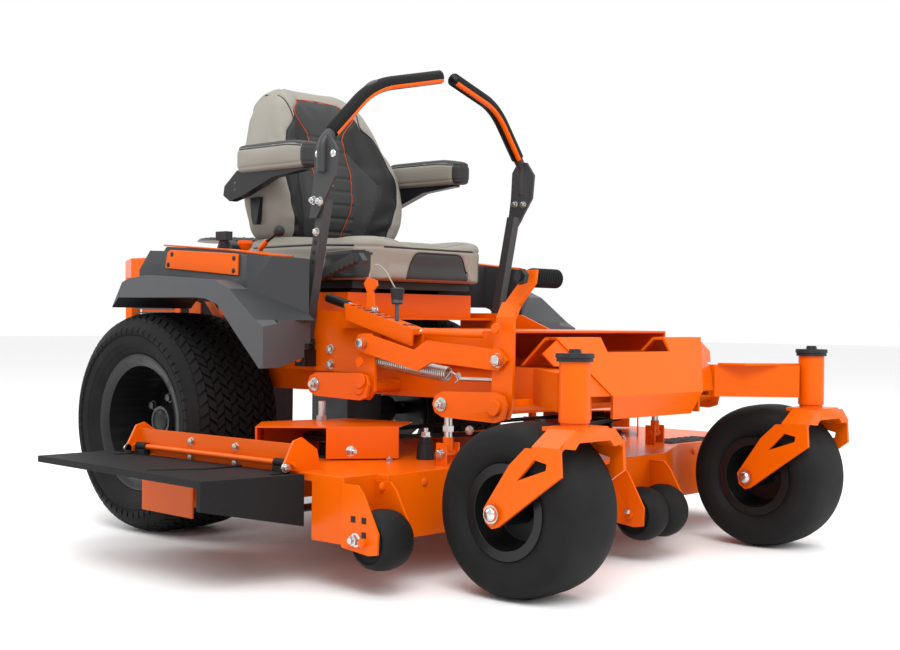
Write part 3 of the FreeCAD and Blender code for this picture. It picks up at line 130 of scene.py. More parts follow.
# Each look is a material and the name of the slot it fills.
LOOKS = {
    "orange": (material("orange_paint", pair(0.665, 0.094, 0.0, 0.95), 0.3, coat=0.05,
                        spec=0.12, grain=(700, 0.06), rough_spread=0.05), "frame_paint"),
    "black": (material("black_paint", pair(0.0085, 0.0085, 0.009), 0.42, coat=0.08,
                       grain=(500, 0.15)), "black_paint"),
    "grey": (material("grey_paint", pair(0.036, 0.037, 0.039), 0.48, coat=0.1,
                      grain=(600, 0.15)), "lever_paint"),
    "fender": (material("fender_moulding", pair(0.03, 0.0315, 0.034), 0.5,
                        grain=(900, 0.5)), "fender_plastic"),
    # Lighter grey for the fenders' outer and front faces: painted light.
    "fender_lip": (material("lit_side_moulding", pair(0.066, 0.068, 0.072), 0.5,
                            grain=(900, 0.4)), "fender_plastic"),
    "plastic": (material("black_moulding", pair(0.014, 0.014, 0.015), 0.5,
                         grain=(700, 0.35)), "black_plastic"),
    "pebble": (material("pebbled_rubber", pair(0.009, 0.009, 0.0095), 0.62,
                        grain=(260, 0.9), cells=True, spec=0.14), "black_plastic"),
    "rubber": (material("soft_rubber", pair(0.009, 0.009, 0.009), 0.62,
                        grain=(500, 0.35), spec=0.12), "rubber"),
    "tyre": (material("tyre_rubber", pair(0.0125, 0.0125, 0.0125, 0.65), 0.66,
                      grain=(300, 0.4), patch=14, rough_spread=0.14, spec=0.1), "tyre"),
    "rim": (material("rim_paint", pair(0.007, 0.007, 0.0075), 0.34, coat=0.12,
                     grain=(500, 0.1)), "rim_paint"),
    "zinc": (material("zinc_plate", pair(0.62, 0.61, 0.58, 0.75), 0.3, metal=1.0,
                      grain=(1400, 0.2), patch=60), "zinc"),
    "chrome": (material("bright_bolt", pair(0.6, 0.6, 0.6, 0.85), 0.28, metal=1.0,
                        grain=(900, 0.05), patch=60), "zinc"),
    "steel": (material("dark_steel", pair(0.11, 0.11, 0.115, 0.6), 0.4, metal=0.9,
                       grain=(700, 0.3), patch=30), "steel"),
    "blade": (material("blade_steel", pair(0.05, 0.05, 0.055, 0.7), 0.42, metal=0.8,
                       grain=(400, 0.3), patch=20), "steel"),
    "alloy": (material("cast_alloy", pair(0.075, 0.076, 0.08, 0.8), 0.45, metal=0.8,
                       grain=(500, 0.8), patch=25), "cast_alloy"),
    "engine": (material("engine_plastic", pair(0.017, 0.017, 0.018), 0.35, coat=0.15,
                        grain=(600, 0.25)), "engine_black"),
    "taupe": (material("taupe_vinyl", pair(0.225, 0.21, 0.18, 0.93), 0.5,
                       grain=(520, 0.55), cells=True, distance=0.0004), "seat_vinyl"),
    "charcoal": (material("charcoal_vinyl", pair(0.028, 0.0285, 0.029, 0.85), 0.55,
                          grain=(420, 0.6), cells=True, distance=0.0004), "seat_vinyl"),
    "carbon": (material("dark_vinyl", pair(0.010, 0.010, 0.0105), 0.48,
                        grain=(420, 0.4), cells=True, distance=0.0004), "seat_vinyl"),
    "piping": (material("orange_piping", pair(0.4, 0.055, 0.006, 0.8), 0.6,
                        grain=(1500, 0.5)), "frame_paint"),
    "mat": (material("step_mat", pair(0.05, 0.05, 0.052), 0.7, grain=(900, 0.7),
                     cells=True), "rubber"),
    "spring": (material("spring_wire", pair(0.55, 0.54, 0.5, 0.7), 0.3, metal=1.0,
                        grain=(900, 0.2), patch=90), "zinc"),
    "wire": (material("clear_wire", pair(0.3, 0.27, 0.24), 0.3, grain=(900, 0.1)), "zinc"),
}


# ------------ mesh helpers

def finish_object(obj, look, body, bevel=0.0, angle=32, nodes=()):
    """Give a piece its normals, edge rounding, material, body and replaced nodes."""
    mesh = obj.data
    if look:
        mesh.materials.append(LOOKS[look][0])
    for face in mesh.polygons:
        face.use_smooth = True
    mesh.set_sharp_from_angle(angle=math.radians(angle))
    if bevel:
        rounding = obj.modifiers.new("edges", "BEVEL")
        rounding.width = bevel * MILLI
        rounding.segments = 2
        rounding.limit_method = "ANGLE"
        rounding.angle_limit = math.radians(angle)
        rounding.harden_normals = True
        rounding.miter_outer = "MITER_ARC"
    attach(obj, body)
    if nodes:
        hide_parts(*nodes)
    return obj


def linked(name, data):
    obj = bpy.data.objects.new(name, data)
    bpy.context.collection.objects.link(obj)
    return obj


def new_object(name, verts, faces):
    """An object from places in machine millimetres."""
    mesh = bpy.data.meshes.new(name)
    mesh.from_pydata([mm(*v) for v in verts], [], faces)
    mesh.update()
    return linked(name, mesh)


def outward(obj):
    """Turn the faces of a closed piece so that they all point outwards."""
    work = bmesh.new()
    work.from_mesh(obj.data)
    bmesh.ops.recalc_face_normals(work, faces=work.faces)
    work.to_mesh(obj.data)
    work.free()
    return obj


def circle(centre, u, v, radius, sides):
    """Points of a ring around a centre, in the plane of u and v."""
    turns = [2 * math.pi * k / sides for k in range(sides)]
    return [centre + (u * math.cos(turn) + v * math.sin(turn)) * radius for turn in turns]


def band(sides, start, after):
    """Quads between two rings of vertices that begin at the given numbers."""
    return [(start + k, start + (k + 1) % sides, after + (k + 1) % sides, after + k)
            for k in range(sides)]


class Batch:
    """Small solids gathered into one mesh per body and look."""

    def __init__(self):
        self.store = {}

    def add(self, body, look, verts, faces):
        have, shape = self.store.setdefault((body, look), ([], []))
        first = len(have)
        have.extend(Vector(v) for v in verts)
        shape.extend([index + first for index in face] for face in faces)

    def flush(self):
        for (body, look), (verts, faces) in self.store.items():
            obj = new_object("trim_%s_%s" % (body, look), verts, faces)
            finish_object(outward(obj), look, body)


trim = Batch()


def frame_of(axis):
    """Unit vectors along an axis and across it."""
    axis = Vector(axis).normalized()
    side = axis.orthogonal().normalized()
    return axis, side, axis.cross(side)


def rod(body, look, start, end, radius, top=None, sides=24):
    """A straight round bar, or a cone where the end has its own radius."""
    start, end = Vector(start), Vector(end)
    _, u, v = frame_of(end - start)
    verts = circle(start, u, v, radius, sides)
    verts += circle(end, u, v, radius if top is None else top, sides)
    faces = band(sides, 0, sides)
    faces += [tuple(range(sides)), tuple(range(2 * sides - 1, sides - 1, -1))]
    trim.add(body, look, verts, faces)


def dome(body, look, base, axis, radius, height, sides=24):
    """A low round head, as on a carriage bolt."""
    base = Vector(base)
    axis, u, v = frame_of(axis)
    verts, faces, steps = [], [], 5
    for ring in range(steps):
        slope = math.pi / 2 * ring / steps
        level = base + axis * height * math.sin(slope)
        verts += circle(level, u, v, radius * math.cos(slope), sides)
    verts.append(base + axis * height)
    for ring in range(steps - 1):
        faces += band(sides, ring * sides, (ring + 1) * sides)
    last = (steps - 1) * sides
    for k in range(sides):
        faces.append((last + k, last + (k + 1) % sides, steps * sides))
    faces.append(tuple(range(sides - 1, -1, -1)))
    trim.add(body, look, verts, faces)


def bolt(body, base, axis, radius=8, look="zinc", washer=True, thread=0):
    """A hexagon head on a washer; thread adds a bare screw end beyond it."""
    base, step = Vector(base), Vector(axis).normalized()
    if washer:
        rod(body, look, base, base + step * 1.6, radius * 1.25)
    low = base + step * (1.6 if washer else 0)
    rod(body, look, low, low + step * radius * 0.8, radius, sides=6)
    dome(body, look, low + step * radius * 0.8, step, radius * 0.82, radius * 0.12, sides=16)
    if thread:
        rod(body, look, low, low + step * (radius * 0.8 + thread), radius * 0.55, sides=14)


def block(body, look, low, high, turn=None, about=None):
    """A box by its corners, optionally turned by a matrix about a point."""
    verts = [Vector((x, y, z)) for x in (low[0], high[0]) for y in (low[1], high[1])
             for z in (low[2], high[2])]
    if turn is not None:
        about = Vector(about)
        verts = [about + turn @ (vert - about) for vert in verts]
    faces = [(0, 1, 3, 2), (4, 6, 7, 5), (0, 4, 5, 1), (2, 3, 7, 6), (0, 2, 6, 4), (1, 5, 7, 3)]
    trim.add(body, look, verts, faces)


def plate(body, look, outline, low, high):
    """A plate across X between two levels, from its outline as (y, z) points."""
    count = len(outline)
    verts = [(x, y, z) for x in (low, high) for y, z in outline]
    faces = [tuple(range(count)), tuple(range(2 * count - 1, count - 1, -1))]
    faces += band(count, 0, count)
    trim.add(body, look, verts, faces)


def rounded(points, reach, steps=6):
    """Points of a path whose corners are replaced by smooth arcs."""
    points = [Vector(p) for p in points]
    path = [points[0]]
    for k in range(1, len(points) - 1):
        back = (points[k - 1] - points[k])
        ahead = (points[k + 1] - points[k])
        a = points[k] + back.normalized() * min(reach, back.length * 0.49)
        c = points[k] + ahead.normalized() * min(reach, ahead.length * 0.49)
        for step in range(steps + 1):
            t = step / steps
            path.append(a * (1 - t) ** 2 + points[k] * 2 * t * (1 - t) + c * t * t)
    path.append(points[-1])
    return path


def sweep(path, radius, sides=14):
    """Vertices and faces of a round bar along a path; radius may vary with the step."""
    path = [Vector(p) for p in path]
    verts, faces = [], []
    side = None
    for k, point in enumerate(path):
        ahead = path[min(k + 1, len(path) - 1)] - path[max(k - 1, 0)]
        axis = ahead.normalized()
        side = axis.orthogonal() if side is None else side - axis * side.dot(axis)
        side.normalize()
        size = radius(k) if callable(radius) else radius
        verts += circle(point, side, axis.cross(side), size, sides)
    for k in range(len(path) - 1):
        faces += band(sides, k * sides, (k + 1) * sides)
    faces.append(tuple(range(sides - 1, -1, -1)))
    last = (len(path) - 1) * sides
    faces.append(tuple(range(last, last + sides)))
    return verts, faces


def tube(body, look, points, radius, reach=0, sides=14):
    """A bent bar as trim; reach rounds its corners."""
    path = rounded(points, reach) if reach else points
    verts, faces = sweep(path, radius, sides)
    trim.add(body, look, verts, faces)


def lathe(profile, centre, sides, side=1):
    """A closed profile of (across, radius) turned about X through a centre."""
    verts, faces = [], []
    count = len(profile)
    for k in range(sides):
        turn = 2 * math.pi * k / sides
        for across, radius in profile:
            verts.append((centre[0] + across * side, centre[1] + radius * math.cos(turn),
                          centre[2] + radius * math.sin(turn)))
    for k in range(sides):
        n = (k + 1) % sides
        for p in range(count):
            q = (p + 1) % count
            faces.append((k * count + p, k * count + q, n * count + q, n * count + p))
    return verts, faces


def parts_of(work):
    """Sets of the faces that hang together."""
    left = set(work.faces)
    for first in work.faces:
        if first not in left:
            continue
        left.discard(first)
        part, todo = set(), [first]
        while todo:
            face = todo.pop()
            part.add(face)
            near_by = {other for edge in face.edges for other in edge.link_faces} & left
            left -= near_by
            todo.extend(near_by)
        yield part


def skin(node, look, bevel, pick=None):
    """A detailed copy of a CAD node: flat faces merged, edges rounded, material by part."""
    mesh = frame["nodes"][node].data.copy()
    mesh.materials.clear()
    work = bmesh.new()
    work.from_mesh(mesh)
    bmesh.ops.remove_doubles(work, verts=work.verts, dist=1e-6)
    bmesh.ops.dissolve_limit(work, angle_limit=math.radians(0.6), verts=work.verts,
                             edges=work.edges)
    looks = [look]
    for part in parts_of(work) if pick else ():
        corners = [in_mm(vert.co) for face in part for vert in face.verts]
        low = Vector([min(corner[i] for corner in corners) for i in range(3)])
        high = Vector([max(corner[i] for corner in corners) for i in range(3)])
        choice = pick(low, high)
        if choice not in looks:
            looks.append(choice)
        for face in part:
            face.material_index = looks.index(choice)
    work.to_mesh(mesh)
    work.free()
    obj = linked(node + "_skin", mesh)
    for choice in looks:
        mesh.materials.append(LOOKS[choice][0])
    body = [key for key, names in frame["record"]["behaviour"]["bodies"].items()
            if node in names][0]
    return finish_object(obj, None, body, bevel, 30, (node,))


# ------------ studio

FLOOR_HALF = 30.0
floor_mesh = bpy.data.meshes.new("floor")
floor_mesh.from_pydata([(-FLOOR_HALF, -FLOOR_HALF, 0), (FLOOR_HALF, -FLOOR_HALF, 0),
                        (FLOOR_HALF, FLOOR_HALF, 0), (-FLOOR_HALF, FLOOR_HALF, 0)],
                       [], [(0, 1, 2, 3)])
floor = linked("floor", floor_mesh)
floor_mesh.materials.append(material("studio_floor", pair(0.9, 0.9, 0.9, 0.99), 0.55,
                                     grain=(40, 0.01), patch=3, rough_spread=0.03))

CAMERA_PLACE = (-2530.9, -2897.1, 536.2)
YAW, PITCH, ROLL = 0.8238, -0.0036, 0.0106
camera_data = bpy.data.cameras.new("camera")
camera_data.lens = 55.15
camera_data.sensor_width = 36
camera_data.clip_end = 200
camera = linked("camera", camera_data)
ahead = Vector((math.sin(YAW) * math.cos(PITCH), math.cos(YAW) * math.cos(PITCH),
                math.sin(PITCH)))
across = ahead.cross(Vector((0, 0, 1))).normalized()
upward = across.cross(ahead)
turned = across * math.cos(ROLL) + upward * math.sin(ROLL)
raised = upward * math.cos(ROLL) - across * math.sin(ROLL)
basis = Matrix((turned, raised, -ahead)).transposed().to_4x4()
camera.matrix_world = Matrix.Translation(mm(*CAMERA_PLACE)) @ basis
bpy.context.scene.camera = camera


def area_light(name, place, target, size, power):
    """A rectangular lamp, in metres and watts, turned to its target."""
    data = bpy.data.lights.new(name, "AREA")
    data.shape = "RECTANGLE"
    data.size, data.size_y = size
    data.energy = power
    obj = linked(name, data)
    obj.location = place
    obj.rotation_euler = (Vector(target) - Vector(place)).to_track_quat("-Z", "Y").to_euler()


area_light("key", (-3.2, -3.4, 4.6), (0, 0, 0.5), (3.2, 3.2), 270)
area_light("top", (0.6, 0.4, 5.2), (0, 0, 0), (5, 5), 140)
area_light("front_fill", (2.8, -4.6, 2.4), (0, -0.4, 0.5), (3, 2.5), 70)
area_light("back_rim", (-2.4, 3.8, 3.0), (0, 0.2, 0.7), (2.5, 2.5), 60)

world = bpy.data.worlds.new("studio")
bpy.context.scene.world = world
world.use_nodes = True
sky = world.node_tree.nodes["Background"]
sky.inputs["Color"].default_value = (1, 1, 1, 1)
sky.inputs["Strength"].default_value = 1.0
bpy.context.scene.view_settings.view_transform = "Standard"
bpy.context.scene.view_settings.exposure = 0.0

# ------------ frame and sheet work

def frame_look(low, high):
    """The caps in the caster tubes are the only black parts of the frame."""
    return "plastic" if low.z > 455 and high.z < 475 else "orange"


def bracket_look(low, high):
    """Upright rods are zinc plated, spindle housings black, the rest painted."""
    size = high - low
    if max(size.x, size.y) < 26 and size.z > 60:
        return "zinc"
    if high.z < 275 and low.z > 140 and size.y < 130 and 100 < size.x < 130:
        return "plastic"
    return "orange"


skin("main_frame", "orange", 2.5, pick=frame_look)
for node, look, bevel in (
        ("nose_cover", "orange", 1.5), ("floor_pan", "orange", 2),
        ("seat_platform", "orange", 1.5), ("console_panels", "orange", 1),
        ("rear_guard", "orange", 2), ("height_channel", "orange", 1),
        ("deck_shell", "orange", 2), ("belt_covers", "orange", 1.5),
        ("front_lift", "orange", 1.5), ("rear_lift", "orange", 1.5),
        ("lift_link", "orange", 1.5), ("engine_block", "alloy", 3),
        ("engine_shroud", "engine", 6), ("muffler", "steel", 3), ("transaxles", "alloy", 5)):
    skin(node, look, bevel)

# The fenders' outer arch faces and low front ends get a lighter grey: painted light, standing in
# for the light falling on these faces.
FENDER_SIDE_X = 514
FENDER_FRONT_Y, FENDER_FRONT_TOP = -440, 528
fender = skin("fenders", "fender", 4)
fender.data.materials.append(LOOKS["fender_lip"][0])
for face in fender.data.polygons:
    spot = in_mm(face.center)
    if abs(spot.x) > FENDER_SIDE_X or (spot.y < FENDER_FRONT_Y and spot.z < FENDER_FRONT_TOP):
        face.material_index = 1

skin("deck_brackets", "orange", 1.2, pick=bracket_look)
skin("deck_belt", "rubber", 1)
skin("discharge_chute", "pebble", 3)
for tag in ("right", "centre", "left"):
    skin("spindle_" + tag, "steel", 1)
    skin("blade_" + tag, "blade", 1)
for node, look, bevel in (("pedal_peg", "rubber", 1.5), ("height_pin", "steel", 0.5),
                          ("throttle_lever", "plastic", 0.5), ("pto_knob", "orange", 1.5),
                          ("ignition_key", "plastic", 1), ("seat_base", "plastic", 2)):
    skin(node, look, bevel)
for tag, _ in SIDES:
    for node, look, bevel in (("rear_rim_", "rim", 1.5), ("caster_rim_", "rim", 1),
                              ("caster_fork_", "orange", 1.5), ("lever_yoke_", "black", 1),
                              ("lever_post_", "grey", 1.5), ("lever_tube_", "grey", 1),
                              ("armrest_arm_", "black", 1.5)):
        skin(node + tag, look, bevel)

# ------------ padded pieces

def surface_box(low, high, cell, radius):
    """Quads over a box with rounded edges, in machine millimetres."""
    low, high = Vector(low), Vector(high)
    count = [max(2, round((high[i] - low[i]) / cell)) for i in range(3)]
    index, verts, faces = {}, [], []

    def corner(key):
        if key not in index:
            spot = Vector([low[i] + (high[i] - low[i]) * key[i] / count[i] for i in range(3)])
            inner = Vector([min(max(spot[i], low[i] + radius), high[i] - radius)
                            for i in range(3)])
            out = spot - inner
            if out.length > 0:
                spot = inner + out.normalized() * radius
            index[key] = len(verts)
            verts.append(spot)
        return index[key]

    for axis in range(3):
        u, v = (axis + 1) % 3, (axis + 2) % 3
        for end in (0, count[axis]):
            for a in range(count[u]):
                for b in range(count[v]):
                    ring = []
                    for da, db in ((0, 0), (1, 0), (1, 1), (0, 1)):
                        key = [0, 0, 0]
                        key[axis], key[u], key[v] = end, a + da, b + db
                        ring.append(corner(tuple(key)))
                    faces.append(ring if end else ring[::-1])
    return verts, faces


def between(table, place):
    """Straight-line value from a table of (place, value) pairs."""
    for (a, low), (b, high) in zip(table, table[1:]):
        if place <= b:
            return low + (high - low) * max(0.0, (place - a) / (b - a))
    return table[-1][1]


def eased(value, start, end):
    """A smooth step from 0 at start to 1 at end."""
    t = min(1.0, max(0.0, (value - start) / (end - start)))
    return t * t * (3 - 2 * t)


def groove(distance, width):
    """How deep a seam of some width is at a distance from its line, from 0 to 1."""
    return math.exp(-(distance / width) ** 2)


PUFF_PRESSURE = 4.0
PUFF_FRAMES = 20


def puff(obj, pinned, cap):
    """Fill a closed piece with air for some frames and keep the result, capped."""
    start = [vert.co.copy() for vert in obj.data.vertices]
    group = obj.vertex_groups.new(name="pinned")
    held = [vert.index for vert in obj.data.vertices if pinned(in_mm(vert.co))]
    group.add(held, 1.0, "REPLACE")
    cloth = obj.modifiers.new("air", "CLOTH")
    air = cloth.settings
    air.quality = 6
    air.mass = 0.3
    air.tension_stiffness = 20
    air.compression_stiffness = 20
    air.bending_stiffness = 2
    air.use_pressure = True
    air.uniform_pressure_force = PUFF_PRESSURE
    air.vertex_group_mass = "pinned"
    air.effector_weights.gravity = 0
    cloth.collision_settings.use_collision = False
    cloth.point_cache.frame_start = 1
    cloth.point_cache.frame_end = PUFF_FRAMES
    scene = bpy.context.scene
    for step in range(1, PUFF_FRAMES + 1):
        scene.frame_set(step)
    shaped = obj.evaluated_get(bpy.context.evaluated_depsgraph_get()).data
    ends = [vert.co.copy() for vert in shaped.vertices]
    obj.modifiers.remove(cloth)
    scene.frame_set(1)
    for vert, old, new in zip(obj.data.vertices, start, ends):
        move = new - old
        if move.length > cap * MILLI:
            move = move.normalized() * cap * MILLI
        vert.co = old + move
    obj.vertex_groups.remove(group)


def subdivide(obj, levels):
    """Replace a piece's mesh with a smoother, finer one."""
    smooth = obj.modifiers.new("finer", "SUBSURF")
    smooth.levels = levels
    smooth.render_levels = levels
    mesh = bpy.data.meshes.new_from_object(
        obj.evaluated_get(bpy.context.evaluated_depsgraph_get()))
    obj.modifiers.remove(smooth)
    obj.data = mesh


def near(outline, a, b, closed=False):
    """Distance in the drawing plane from a point to a drawn line."""
    best = math.inf
    ends = outline[1:] + outline[:1] if closed else outline[1:]
    for (p, q), (r, s) in zip(outline, ends):
        dx, dy = r - p, s - q
        t = ((a - p) * dx + (b - q) * dy) / (dx * dx + dy * dy)
        t = min(1.0, max(0.0, t))
        best = min(best, math.hypot(a - p - dx * t, b - q - dy * t))
    return best


def inside(outline, a, b):
    """Whether a point of the drawing plane lies in a closed outline."""
    hit = False
    for (p, q), (r, s) in zip(outline, outline[1:] + outline[:1]):
        if (q > b) != (s > b) and a < (r - p) * (b - q) / (s - q) + p:
            hit = not hit
    return hit


def upholster(name, node, body, low, high, cell, radius, shape, pinned, cap, press, paint, looks):
    """Build one padded piece: shaped box, air, finer mesh, pressed seams, panel materials."""
    verts, faces = surface_box(low, high, cell, radius)
    obj = new_object(name, [shape(*vert) for vert in verts], faces)
    puff(obj, pinned, cap)
    subdivide(obj, 2)
    mesh = obj.data
    normals = [vert.normal.copy() for vert in mesh.vertices]
    for vert, normal in zip(mesh.vertices, normals):
        vert.co -= normal * press(in_mm(vert.co), normal) * MILLI
    mesh.update()
    mesh.materials.clear()
    for look in looks:
        mesh.materials.append(LOOKS[look][0])
    for face in mesh.polygons:
        face.material_index = looks.index(paint(in_mm(face.center), face.normal))
    finish_object(obj, None, body, angle=60, nodes=(node,))
    return obj


BEAD_STEP = 7
BEAD_REACH = 600


def bead(obj, body, look, points, way, radius):
    """A cord of piping laid on a padded piece along drawn points, cast along a direction."""
    tree = BVHTree.FromPolygons([in_mm(vert.co) for vert in obj.data.vertices],
                                [tuple(face.vertices) for face in obj.data.polygons])
    path = []
    way = Vector(way)
    points = rounded(points, 16, 4)
    for start, end in zip(points, points[1:]):
        steps = max(1, int((end - start).length / BEAD_STEP))
        for step in range(steps):
            hit = tree.ray_cast(start.lerp(end, step / steps) - way * BEAD_REACH, way)[0]
            if hit is not None and (not path or (hit - path[-1]).length > 1.5):
                path.append(hit)
    if len(path) > 2:
        tube(body, look, path, radius, sides=8)


# The backrest, by height: half width, front and rear faces, and how far the middle is drawn
# in. The outlines are half drawings of its panels from the front, as (x, z).
BACK_WIDTH = ((735, 205), (780, 222), (832, 232), (905, 232), (950, 226), (1005, 203),
              (1060, 182), (1100, 163), (1130, 135), (1152, 104))
BACK_FRONT = ((735, -150), (800, -170), (860, -168), (930, -152), (1000, -122), (1060, -94),
              (1110, -66), (1140, -40), (1152, -20))
BACK_REAR = ((735, -4), (790, 0), (860, 14), (930, 28), (1000, 42), (1060, 54), (1100, 58),
             (1130, 50), (1152, 34))
BACK_HOLLOW = ((735, 34), (780, 44), (960, 44), (1040, 30), (1110, 14), (1152, 8))
CENTRE = [(0, 1132), (72, 1130), (112, 1093), (61, 1036), (70, 941), (57, 835), (34, 775),
          (30, 735)]
STRIP = [(61, 1036), (70, 941), (57, 835), (34, 775), (30, 728), (167, 728), (167, 779),
         (190, 844), (203, 917), (160, 1033), (119, 1068), (112, 1093)]
GREY = [(66, 1000), (73, 941), (61, 835), (38, 775), (34, 728), (92, 728), (112, 776), (131, 839),
        (146, 905), (104, 962)]
SIDE_SEAM = [(130, 1140), (119, 1068), (160, 1033), (203, 917), (190, 844), (167, 779),
             (167, 735)]


def back_shape(x, y, z):
    """The box drawn out to the backrest's width and depth at each height."""
    across = x / 205
    width = between(BACK_WIDTH, z)
    hollow = between(BACK_HOLLOW, z) * (1 - eased(abs(across), 0.42, 0.82))
    front = between(BACK_FRONT, z) + hollow
    rear = between(BACK_REAR, z) - 10 * eased(abs(across), 0.5, 1.0)
    depth = (y + 75) / 150
    return across * width, front + (rear - front) * depth, z + 15 * ((z - 735) / 417) ** 3


def back_press(spot, normal):
    """Depth of the seams and of the channels across the middle."""
    side, z = abs(spot.x), spot.z
    if normal.y > -0.15:
        return 2.5 * groove(spot.y - between(BACK_REAR, z) + 34, 4)
    depth = 3.0 * groove(near(CENTRE[1:], side, z), 5)
    depth += 3.5 * groove(near(SIDE_SEAM, side, z), 5)
    depth += 1.5 * groove(near(GREY, side, z, True), 4)
    if side < 66 and z < 1034:
        rung = (1030 - z) / 37
        depth += 3.2 * groove((rung - round(rung)) * 37, 4)
    return depth


def back_paint(spot, normal):
    side, z = abs(spot.x), spot.z
    if normal.y > 0.1:
        return "taupe"
    if inside(CENTRE + [(0, 735)], side, z) or inside(GREY, side, z):
        return "charcoal"
    if inside(STRIP, side, z):
        return "carbon"
    return "taupe"


def back_pinned(spot):
    return spot.z < 742 or spot.y > between(BACK_REAR, spot.z) - 6


back = upholster("seat_back_pad", "seat_back", "backrest", (-205, -75, 735), (205, 75, 1152), 11,
                 34, back_shape, back_pinned, 6, back_press, back_paint,
                 ["taupe", "charcoal", "carbon"])
for side in (RIGHT, LEFT):
    bead(back, "backrest", "piping", [(side * a, 0, b) for a, b in CENTRE[1:]], (0, 1, 0), 1.7)
    bead(back, "backrest", "carbon", [(side * a, 0, b) for a, b in SIDE_SEAM], (0, 1, 0), 2.0)
bead(back, "backrest", "piping", [(-72, 0, 1130), (0, 0, 1134), (72, 0, 1130)], (0, 1, 0), 1.7)


CUSHION_EDGE = ((0, 0), (0.55, 0), (0.8, 12), (1, 14))


def cushion_shape(x, y, z):
    """Plan corners drawn in, bolsters up at the rear, front edge falling."""
    z = z if z > 640 else 632 + (z - 612) * 8 / 28
    rise = (z - 632) / 100
    run = (y + 6) / -494
    half = 245 - 10 * eased(run, 0.75, 1.0) - 60 * max(0.0, (run - 0.86) / 0.14) ** 2
    half -= 6 * (1 - rise) + 20 * max(0.0, (0.1 - run) / 0.1) ** 2
    across = x / 245
    crest = 100 + 3 * eased(run, 0.6, 0.9) - 8 * (1 - eased(run, 0.0, 0.25))
    crest += between(CUSHION_EDGE, abs(across)) * (0.1 + 0.6 * eased(run, 0.75, 0.3))
    crest -= 8 * (1 - eased(abs(across), 0.3, 0.62))
    lean = 14 * (1 - rise) * eased(run, 0.8, 1.0)
    return across * half, y + lean, 632 + rise * crest


# Panels of the cushion: the top as (x, y), the front as (x, z) and each side as (y, z).
SEAT_TOP = [(-150, -470), (-150, -60), (150, -60), (150, -470)]
SEAT_FRONT = [(-88, 628), (-84, 650), (-62, 696), (-48, 704), (104, 704), (118, 696), (140, 650),
              (144, 628)]
SEAT_SIDE = [(-348, 702), (-462, 704), (-478, 694), (-487, 668), (-492, 628), (-350, 628),
             (-344, 650)]


def cushion_press(spot, normal):
    """Depth of the seams, of the channels on top and of the seam round the rim."""
    depth = 0.0
    if normal.z > 0.4:
        if abs(spot.x) < 150 and -470 < spot.y < -60:
            rung = (spot.y + 470) / 41
            depth += 3.0 * groove((rung - round(rung)) * 41, 4)
        depth += 3.5 * groove(near(SEAT_TOP, spot.x, spot.y, True), 5)
    elif normal.y < -0.5:
        depth += 3.0 * groove(near(SEAT_FRONT, spot.x, spot.z), 4)
    elif abs(normal.x) > 0.5:
        depth += 3.0 * groove(near(SEAT_SIDE, spot.y, spot.z, True), 4)
    rim = 714 + 6 * eased(spot.y, -480, -300)
    if normal.z < 0.75:
        depth += 2.5 * groove(spot.z - rim, 3.5)
    return depth


def cushion_paint(spot, normal):
    if normal.z > 0.3 and spot.y > -330 and inside(SEAT_TOP, spot.x, spot.y):
        return "charcoal"
    if normal.y < -0.45 and abs(normal.z) < 0.7 and inside(SEAT_FRONT, spot.x, spot.z):
        return "charcoal"
    if abs(normal.x) > 0.5 and inside(SEAT_SIDE, spot.y, spot.z):
        return "charcoal"
    return "taupe"


seat = upholster("seat_cushion_pad", "seat_cushion", "seat", (-245, -500, 612), (245, -6, 732), 12,
                 30, cushion_shape, lambda spot: spot.z < 640, 7, cushion_press, cushion_paint,
                 ["taupe", "charcoal"])
bead(seat, "seat", "carbon", [(a, 0, b) for a, b in SEAT_FRONT[1:-1]], (0, 1, 0), 2.2)
for side in (RIGHT, LEFT):
    bead(seat, "seat", "carbon", [(0, -440, 716), (0, -300, 721), (0, -60, 718)],
         (-side, 0, 0), 2.4)
bead(seat, "seat", "carbon", [(-165, 0, 714), (165, 0, 714)], (0, 1, 0), 2.4)


PAD_TAPER = ((-350, 0.86), (-335, 0.97), (-300, 1.0), (-110, 1.0), (-70, 0.94))
PAD_X = 274


def pad_shape(side):
    """An armrest pad narrowed to its ends, with its front edge falling."""
    middle = side * PAD_X

    def shape(x, y, z):
        wide = between(PAD_TAPER, y) * (1 - 0.1 * eased(z, 955, 981))
        drop = 9 * eased(-y, 270, 350) * (z - 909) / 72
        return middle + (x - middle) * wide, min(-68, max(-352, y)), max(909.0, z - drop)
    return shape


def pad_press(spot, normal):
    depth = 2.0 * groove(spot.z - 969 + 9 * eased(-spot.y, 270, 350), 3)
    depth += 1.6 * groove(spot.z - 921, 3)
    if spot.y < -318:
        depth += 1.5 * groove(spot.y + 322, 3)
    return depth


def pad_paint(spot, normal):
    if spot.z > 972 - 9 * eased(-spot.y, 270, 350) or spot.y < -326:
        return "charcoal"
    return "taupe"


for tag, side in SIDES:
    rest = upholster("armrest_cushion_" + tag, "armrest_pad_" + tag, "armrest_" + tag,
                     (side * PAD_X - 28, -352, 909), (side * PAD_X + 28, -68, 981), 8, 17,
                     pad_shape(side), lambda spot: spot.z < 916, 2.5, pad_press, pad_paint,
                     ["taupe", "charcoal"])
    for way in (-1, 1):
        bead(rest, "armrest_" + tag, "carbon", [(0, -322, 962), (0, -270, 968), (0, -74, 969)],
             (way, 0, 0), 1.8)

# ------------ tyres and rims

def tyre_piece(name, node, body, centre, profile, side, blocks=None, sides=112):
    """A turned tyre, with tread blocks if it has any."""
    verts, faces = lathe(profile, centre, sides, side)
    if blocks:
        extra, more = blocks(centre, side)
        faces += [[index + len(verts) for index in face] for face in more]
        verts += extra
    obj = outward(new_object(name, verts, faces))
    return finish_object(obj, "tyre", body, angle=34, nodes=(node,))


